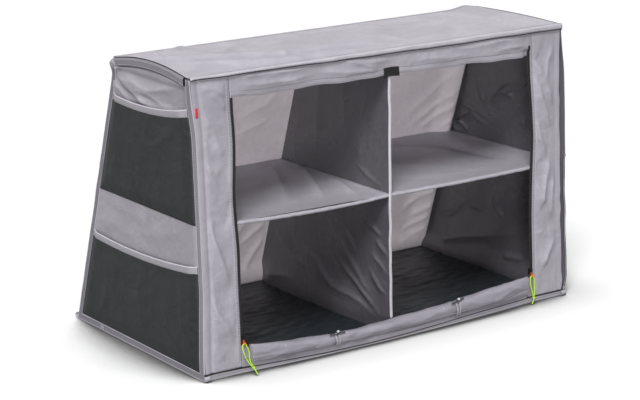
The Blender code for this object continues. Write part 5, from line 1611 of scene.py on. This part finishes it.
def addSelvedge(sideName, side, place, marks):
    # The lower pocket's cloth is caught in the seam and stands out past the webbing
    def finPlace(s, v):
        x, y, z = place(s, 0 * s)
        return x + side * (v - 0.002), y + 0.001 + 0.1 * v, z

    low = marks[2] + 0.018
    fin = gridPiece(sideName + "_pocket_selvedge", finPlace, steps(low, marks[2] + edging["finHigh"], 0.007),
                    np.linspace(0, edging["fin"], 5), "pocket", flip=side > 0, thick=0.0008)
    settle(fin, "black")
    line = lineOn(place, steps(low, marks[3] - 0.012, 0.008), edging["seamLine"], (side * 0.0006, 0, 0))
    cord = tubePiece(sideName + "_seam_line", line, 0.0009, "hook", 8)
    settle(cord, "black")


def addEdging(sideName, side):
    place, marks = edgingPlace(sideName, side)
    stations = np.concatenate([steps(a, b, edging["station"])[:-1] for a, b in zip(marks, marks[1:])]
                              + [[marks[-1]]])
    # Its reverse face takes the darker copy of the webbing: painted shade on the flange
    tape = gridPiece(sideName + "_edge_webbing", place, stations, np.linspace(0, edging["width"], 11),
                     "edgeTape", flip=side > 0, thick=0.0012, inner="tapeShade")
    settle(tape, "webbing", sideName + "_edge_binding")
    for v in (0.0034, 0.0131):
        addRow("thread", place, stations, v, (side * 0.0003, 0, 0))
    if corners[side]["flange"]:
        addSelvedge(sideName, side, place, marks)
    # Folded ends of the webbing at the two lower corners
    tabs = []
    for y, lean in ((frontY(0) - 0.001, -1), (rearY(0) + 0.0006, 1)):
        def tabPlace(u, v, y=y, lean=lean):
            turn = u * math.pi
            bend = 0.0016 * np.cos(turn)
            return (side * (0.499 - 0.014 * v + 0.0012 * np.sin(turn) + 0.0022),
                    y - lean * bend + lean * (0.0022 + 0.0042 * np.sin(turn)),
                    0.0004 + 0.0125 * (0.5 - 0.5 * np.cos(turn * 0.9)))
        tabs.append(gridPiece("tab", tabPlace, np.linspace(0, 1, 13), np.linspace(0, 1, 6),
                              "edgeTape", flip=(side > 0) == (lean > 0), thick=0.0012))
    tab = joinPieces(sideName + "_corner_tabs", tabs)
    settle(tab, "webbing")


sleeve = {"rib": 0.003, "ribHigh": 0.00035, "roundness": 5.0, "high": 0.0194, "deep": 0.0245, "fin": 0.0034,
          "start": -0.2192, "end": 0.06}


def sleevePlace(side):
    def place(y, turn):
        rise = barRise(y, side)
        middleX = halfWidth + 0.003 - sleeve["deep"] / 2
        middleZ = topRailZ - 0.0105 + sleeve["high"] / 2 + rise
        c, s = np.cos(turn), np.sin(turn)
        power = sleeve["roundness"]
        reach = (np.abs(c) ** power + np.abs(s) ** power) ** (-1 / power)
        sideways = sleeve["deep"] / 2 * reach * c
        upward = sleeve["high"] / 2 * reach * s
        onFace = smooth((c - 0.55) / 0.15)
        rib = sleeve["ribHigh"] * np.cos(2 * math.pi * y / sleeve["rib"]) * onFace * (np.abs(upward) < 0.0072)
        edge = 0.0006 * onFace * (np.abs(upward) > 0.0078)
        # The outer webbing stands up beside the roof's edge
        fin = sleeve["fin"] * smooth((c - 0.8) / 0.1) * smooth((2 * upward / sleeve["high"] - 0.5) / 0.35)
        upward = upward + fin
        soft = 0.0012 * onFace * ripple(y, 0 * y, 97 + side, 0.12, 0.0)
        return side * (middleX + sideways + rib + edge + soft * 0.5), y, middleZ + upward + 0.3 * soft
    return place


def addSleeve(sideName, side):
    place = sleevePlace(side)
    start, end = sleeve["start"], sleeve["end"]
    turns = np.linspace(0, 2 * math.pi, 65)

    def flatSleeve(x, y, z):
        return y, z - topRailZ - barRise(y, side) + 0.0158

    # Its inner face is black hook material: painted shade seen in the sleeve's open ends
    tube = gridPiece(sideName + "_top_sleeve_webbing", place, steps(start, end, 0.00075), turns,
                     "sleeveTape", flat=flatSleeve, flip=side < 0, thick=0.001,
                     inner="hook")
    closeMesh(tube.data)
    settle(tube, "webbing", sideName + "_top_sleeve")
    for turn in (math.radians(31), math.radians(-31)):
        addRow("paleThread", place, steps(start + 0.002, end - 0.002, 0.004), turn,
               (side * 0.0003, 0, 0))


tuck = {   # corners of the folded cloth at the rear end of the bar, left side: x outwards, y, z
    "low": (0.501, 0.069, 0.607), "tip": (0.5105, 0.065, 0.6265), "top": (0.499, 0.06, 0.6405),
    "front": (0.4995, 0.034, 0.615),
}


def addTuck(sideName, side):
    def place(u, v):
        corner = [np.array(tuck[key]).reshape(3, 1, 1) for key in ("low", "tip", "front", "top")]
        spot = (corner[0] * (1 - u) * (1 - v) + corner[1] * u * (1 - v) + corner[2] * (1 - u) * v
                + corner[3] * u * v)
        belly = 0.0016 * np.sin(math.pi * u) * np.sin(math.pi * v) + 0.0008 * np.sin(9 * v + 4 * u)
        out = spot[0] + belly if side < 0 else 0.5 + (spot[0] + belly - 0.5) * 0.4
        return side * out, spot[1], spot[2] + (barRise(spot[1], side) * v)
    piece = gridPiece(sideName + "_corner_tuck", place, np.linspace(0, 1, 13), np.linspace(0, 1, 13),
                      "cover", flip=side < 0, thick=0.0012)
    settle(piece, "cover")


for sideName, side in sides.items():
    for level in pockets["levels"]:
        addPocket(sideName, side, level)
    addEdging(sideName, side)
    addSleeve(sideName, side)
    addTuck(sideName, side)
print("pockets and webbing made")


# Zips: tape and coil, with the CAD sliders and pullers on them

def tapePlace(side):
    def place(v, z):
        x = cupboard["zipX"] + v + zipWave(z, side)
        return side * x, frontY(z) + zips["behind"], z
    return place


def addZip(sideName, side):
    top = float(headerHem(np.array(-jambInner))) - 0.0006
    place = tapePlace(side)
    zs = steps(zips["low"], top, 0.004)
    across = np.linspace(-zips["inward"], zips["tape"] + 0.001, 7)
    tape = gridPiece(sideName + "_zip_tape_cloth", place, across, zs,
                     "blackTape", flat=lambda x, y, z: (z, np.abs(x) - 0.397), flip=side < 0,
                     thick=0.0007)
    core = lineOn(place, 0.0, zs, (0, 0.0003, 0))
    parts = [tape, tubePiece("coil_core", core, 0.00062, "coil", 8)]
    if side > 0:
        # Its upper end lies open over the end of the header
        def end(u, v):
            z = zips["end"]["low"] + zips["end"]["high"] * v
            y = frontY(z) + 0.0003 - zips["end"]["out"] * smooth(v / 0.4)
            return zips["end"]["inner"] + zips["end"]["wide"] * u, y, z

        parts.append(gridPiece("zip_end", end, np.linspace(0, 1, 4), np.linspace(0, 1, 6),
                               "blackTape", thick=0.001))
    settle(joinPieces(sideName + "_zip_tape_cloth", parts), "zip_tape", sideName + "_zip_tape")
    addRow("teeth", place, 0.0, zs, (0, 0.0003, 0))


# Ties of the rolled door: two narrow tapes over the roll, a toggle and its knot

ties = {
    "tape": 0.0048, "gap": 0.003, "startAngle": -62, "endAngle": 78,
    "overRoll": 0.0022, "knot": 0.0009, "knotOut": 0.0062, "postIn": 0.0042, "post": 0.001, "cord": 0.0011,
    "seats": {   # middle of each toggle bar, and the way out of the roll there
        "left": ((-0.17, -0.28644, 0.04527), (0, -0.45611, 0.88993)),
        "right": ((0.164, -0.28698, 0.05425), (0, -0.57391, 0.81892)),
    },
}


def addTie(sideName):
    middle = roll["ties"][sideName]
    tapes = []
    for sign in (-1, 1):
        offset = sign * (ties["tape"] + ties["gap"]) / 2

        def place(v, turn, offset=offset):
            x = middle + offset + v
            px, py, pz = rollPlace(x, turn, ties["overRoll"], folded=False)
            skirtOut = 0.0012 * smooth((math.radians(8) - turn) / 0.3)
            return px + 0.0008 * np.sin(3 * turn) * sign, py - skirtOut, pz
        turns = np.radians(np.linspace(ties["startAngle"], ties["endAngle"], 33))
        half = ties["tape"] / 2
        tapes.append(gridPiece("tie", place, np.linspace(-half, half, 5), turns, "hemTape",
                               flat=lambda x, y, z: (z + y, x * 0 + 0.004), thick=0.0009))
    seat, outward = [Vector(part) for part in ties["seats"][sideName]]
    knot = seat + outward * ties["knotOut"]
    post = [seat - outward * ties["postIn"], seat, knot]
    tapes.append(tubePiece("post", post, ties["post"], "paleThread", 8))
    bow = knotLine(knot, ties["knot"], 1.7, 0.0011, 48)
    tapes.append(tubePiece("bow", bow, ties["cord"], "paleThread", 8))
    settle(joinPieces(sideName + "_tie_tapes", tapes), "webbing", sideName + "_tie")


# Tab over the divider and the small label on the left seam

tab = {"wide": 0.04, "high": 0.019, "left": -0.01, "low": -0.0035, "out": 0.0022, "curl": 0.0012}
tag = {"left": -0.48975, "low": 0.5575, "wide": 0.0056, "high": 0.02, "out": 0.0016}


def addTab():
    hem = float(headerHem(np.array(dividerX)))

    def place(u, v):
        z = hem + tab["low"] + v * tab["high"] + 0.0012 * np.sin(3 * u)
        curl = tab["curl"] * smooth((u - 0.6) / 0.4) * (1 - v) + 0.0006 * np.sin(7 * u + 3 * v)
        return tab["left"] + u * tab["wide"], frontY(z) - tab["out"] - curl, z

    patch = gridPiece("header_tab_patch", place, np.linspace(0, 1, 25), np.linspace(0, 1, 15),
                      "hook", thick=0.0012)
    settle(patch, "black", "header_tab")
    rim = [lineOn(place, u, v, (0, -0.0001, 0))[0] for u, v in (
        (0, 1), (0.5, 1), (1, 1), (1, 0.5), (1, 0), (0.5, 0), (0, 0), (0, 0.5), (0, 1))]
    route = []
    for a, b in zip(rim, rim[1:]):
        route += [a + (b - a) * t for t in (0, 0.25, 0.5, 0.75)]
    edge = tubePiece("header_tab_edge", route, 0.0007, "coil", 6)
    settle(edge, "black")
    for v in (0.12, 0.88):
        addRow("darkThread", place, np.linspace(0.06, 0.94, 12), v, (0, -0.0002, 0))


def addTag():
    def place(u, v):
        z = tag["low"] + v * tag["high"]
        bend = 0.0009 * np.sin(math.pi * v) + 0.0005 * u
        return tag["left"] + u * tag["wide"], frontY(z) - tag["out"] - bend, z

    label = gridPiece("seam_label", place, np.linspace(0, 1, 9), np.linspace(0, 1, 15), "tag",
                      thick=0.0007)
    settle(label, "tag", "seam_tag")


# Cloth tunnels that hold the frame inside the cover

tunnels = {
    "radius": 0.0073, "rings": 20, "slack": 0.05,
    "railGap": 0.016, "postGap": 0.018, "barGap": 0.017,   # how far each kind stops short of a fitting
    # Where the back's nearly white cloth, painted light for daylight through it, runs on over a tunnel, and
    # the way that it faces
    "pale": {"bottom_rear": (0, -1, 0.6), "left_rear": (1, 0.4, 0), "right_rear": (-1, 0.4, 0)},
}


def addTunnel(name, start, end, finish):
    start, end, count = Vector(start), Vector(end), tunnels["rings"]
    route = [start + (end - start) * t for t in np.linspace(0, 1, max(8, round((end - start).length / 0.02)))]
    tube = tubePiece(name + "_tunnel", route, tunnels["radius"], finish, count)
    for i, vertex in enumerate(tube.data.vertices):
        # Loose cloth: not quite round, drawn in here and there
        ring = i // count
        wave = math.sin(1.7 * ring + 2.2 * (i % count) / 3)
        vertex.co += (vertex.co - route[ring]) * tunnels["slack"] * wave
    # Faces turned into the cupboard take the back's painted light
    if name in tunnels["pale"]:
        tube.data.materials.append(finishes["back"])
        for face in tube.data.polygons:
            if face.normal.dot(Vector(tunnels["pale"][name])) > 0.0:
                face.material_index = 1
    settle(tube, "dark")


def addTunnels():
    ys = [{"front": frontY(z) + postInset, "rear": rearY(z) - rearInset} for z in (postInset, topRailZ)]
    reach = postX - tunnels["railGap"]
    for level, y, z, finish in (("bottom", ys[0], postInset, "ground"), ("top", ys[1], topRailZ, "shelf")):
        for end in ("front", "rear"):
            addTunnel(f"{level}_{end}", (-reach, y[end], z), (reach, y[end], z), finish)
    gap = tunnels["postGap"] / (topRailZ - postInset)
    for sideName, side in sides.items():
        x = side * postX
        for end in ("front", "rear"):
            low, high = Vector((x, ys[0][end], postInset)), Vector((x, ys[1][end], topRailZ))
            addTunnel(f"{sideName}_{end}", low.lerp(high, gap), low.lerp(high, 1 - gap), "dark")
        addTunnel(f"{sideName}_bottom", (x, ys[0]["front"] + tunnels["barGap"], postInset),
                  (x, ys[0]["rear"] - tunnels["barGap"], postInset), "ground")


for sideName, side in sides.items():
    addZip(sideName, side)
    addTie(sideName)
addTab()
addTag()
addTunnels()
print("zips, ties and tunnels made")


# Stitches, seams and zip teeth: Geometry Nodes along the lines kept above

def rowTree(name, tooth=False):
    tree = bpy.data.node_groups.new(name, "GeometryNodeTree")
    tree.interface.new_socket("Geometry", in_out="INPUT", socket_type="NodeSocketGeometry")
    for label in ("Pitch", "Length", "Radius"):
        tree.interface.new_socket(label, in_out="INPUT", socket_type="NodeSocketFloat")
    tree.interface.new_socket("Finish", in_out="INPUT", socket_type="NodeSocketMaterial")
    tree.interface.new_socket("Geometry", in_out="OUTPUT", socket_type="NodeSocketGeometry")
    given = addNode(tree, "NodeGroupInput").outputs
    line = addNode(tree, "GeometryNodeMeshToCurve", {"Mesh": given["Geometry"]})
    points = addNode(tree, "GeometryNodeCurveToPoints", {"Curve": line.outputs[0], "Length": given["Pitch"]},
                     mode="LENGTH")
    one = addNode(tree, "GeometryNodeMeshUVSphere", {
        "Segments": 8 if tooth else 6, "Rings": 5 if tooth else 4, "Radius": given["Radius"]})
    if tooth:
        scale = addNode(tree, "ShaderNodeCombineXYZ", {"X": 1.0, "Y": 1.9, "Z": 0.42})
    else:
        stretch = addNode(tree, "ShaderNodeMath", {0: given["Length"], 1: given["Radius"]},
                          operation="DIVIDE")
        stretch = addNode(tree, "ShaderNodeMath", {0: stretch.outputs[0], 1: 0.5}, operation="MULTIPLY")
        scale = addNode(tree, "ShaderNodeCombineXYZ", {"X": 1.0, "Y": 1.0, "Z": stretch.outputs[0]})
    placed = addNode(tree, "GeometryNodeInstanceOnPoints",
                     {"Points": points.outputs["Points"], "Instance": one.outputs["Mesh"],
                      "Rotation": points.outputs["Rotation"], "Scale": scale.outputs[0]})
    real = addNode(tree, "GeometryNodeRealizeInstances", {"Geometry": placed.outputs[0]})
    done = addNode(tree, "GeometryNodeSetMaterial", {"Geometry": real.outputs[0],
                                                      "Material": given["Finish"]})
    addNode(tree, "NodeGroupOutput", {"Geometry": done.outputs[0]})
    return tree


rows = {
    "thread": {"pitch": 0.0062, "length": 0.0042, "radius": 0.00052, "finish": "thread"},
    "paleThread": {"pitch": 0.0052, "length": 0.0038, "radius": 0.00042, "finish": "paleThread"},
    "darkThread": {"pitch": 0.0062, "length": 0.0044, "radius": 0.0005, "finish": "darkThread"},
    "teeth": {"pitch": 0.0021, "length": 0.001, "radius": 0.00085, "finish": "coil"},
}


def addRows(slots):
    trees = {False: rowTree("stitch_row"), True: rowTree("zip_teeth", True)}
    for use, lines in rowStore.items():
        look = rows[use]
        points, edges = [], []
        for line in lines:
            first = len(points)
            points += line.tolist()
            edges += [(first + i, first + i + 1) for i in range(len(line) - 1)]
        mesh = bpy.data.meshes.new(use + "_lines")
        mesh.from_pydata(points, edges, [])
        guide = addObject(use + "_lines", mesh)
        tree = trees[use == "teeth"]
        maker = guide.modifiers.new("rows", "NODES")
        maker.node_group = tree
        inputs = {item.name: item.identifier for item in tree.interface.items_tree
                  if item.in_out == "INPUT"}
        for label in ("Pitch", "Length", "Radius"):
            maker[inputs[label]] = look[label.lower()]
        maker[inputs["Finish"]] = finishes[look["finish"]]
        state = bpy.context.evaluated_depsgraph_get()
        made = bpy.data.meshes.new_from_object(guide.evaluated_get(state))
        name = {"teeth": "zip_teeth"}.get(use, use + "_stitches")
        guide.modifiers.clear()
        bpy.data.objects.remove(guide)
        made.name = name
        made.shade_smooth()
        piece = addObject(name, made)
        settle(piece, slots[use])
        print(" ", name, len(made.polygons), "faces")


addRows({"thread": "cover", "paleThread": "pale_binding", "darkThread": "dark", "teeth": "zip_tape"})


# Rigid parts of the frame and hardware keep their CAD shape and get their real finish

hardware = {
    "rail": "steel", "upright": "steel", "bottom_bar": "steel", "top_bar": "rod", "fitting": "fitting",
    "zip_slider": "slider", "puller": "orange", "toggle": "toggle",
}
for name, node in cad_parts.items():
    for ending, finish in hardware.items():
        if name.endswith(ending):
            for slot in node.material_slots:
                slot.material = finishes[finish]
print("hardware finished")
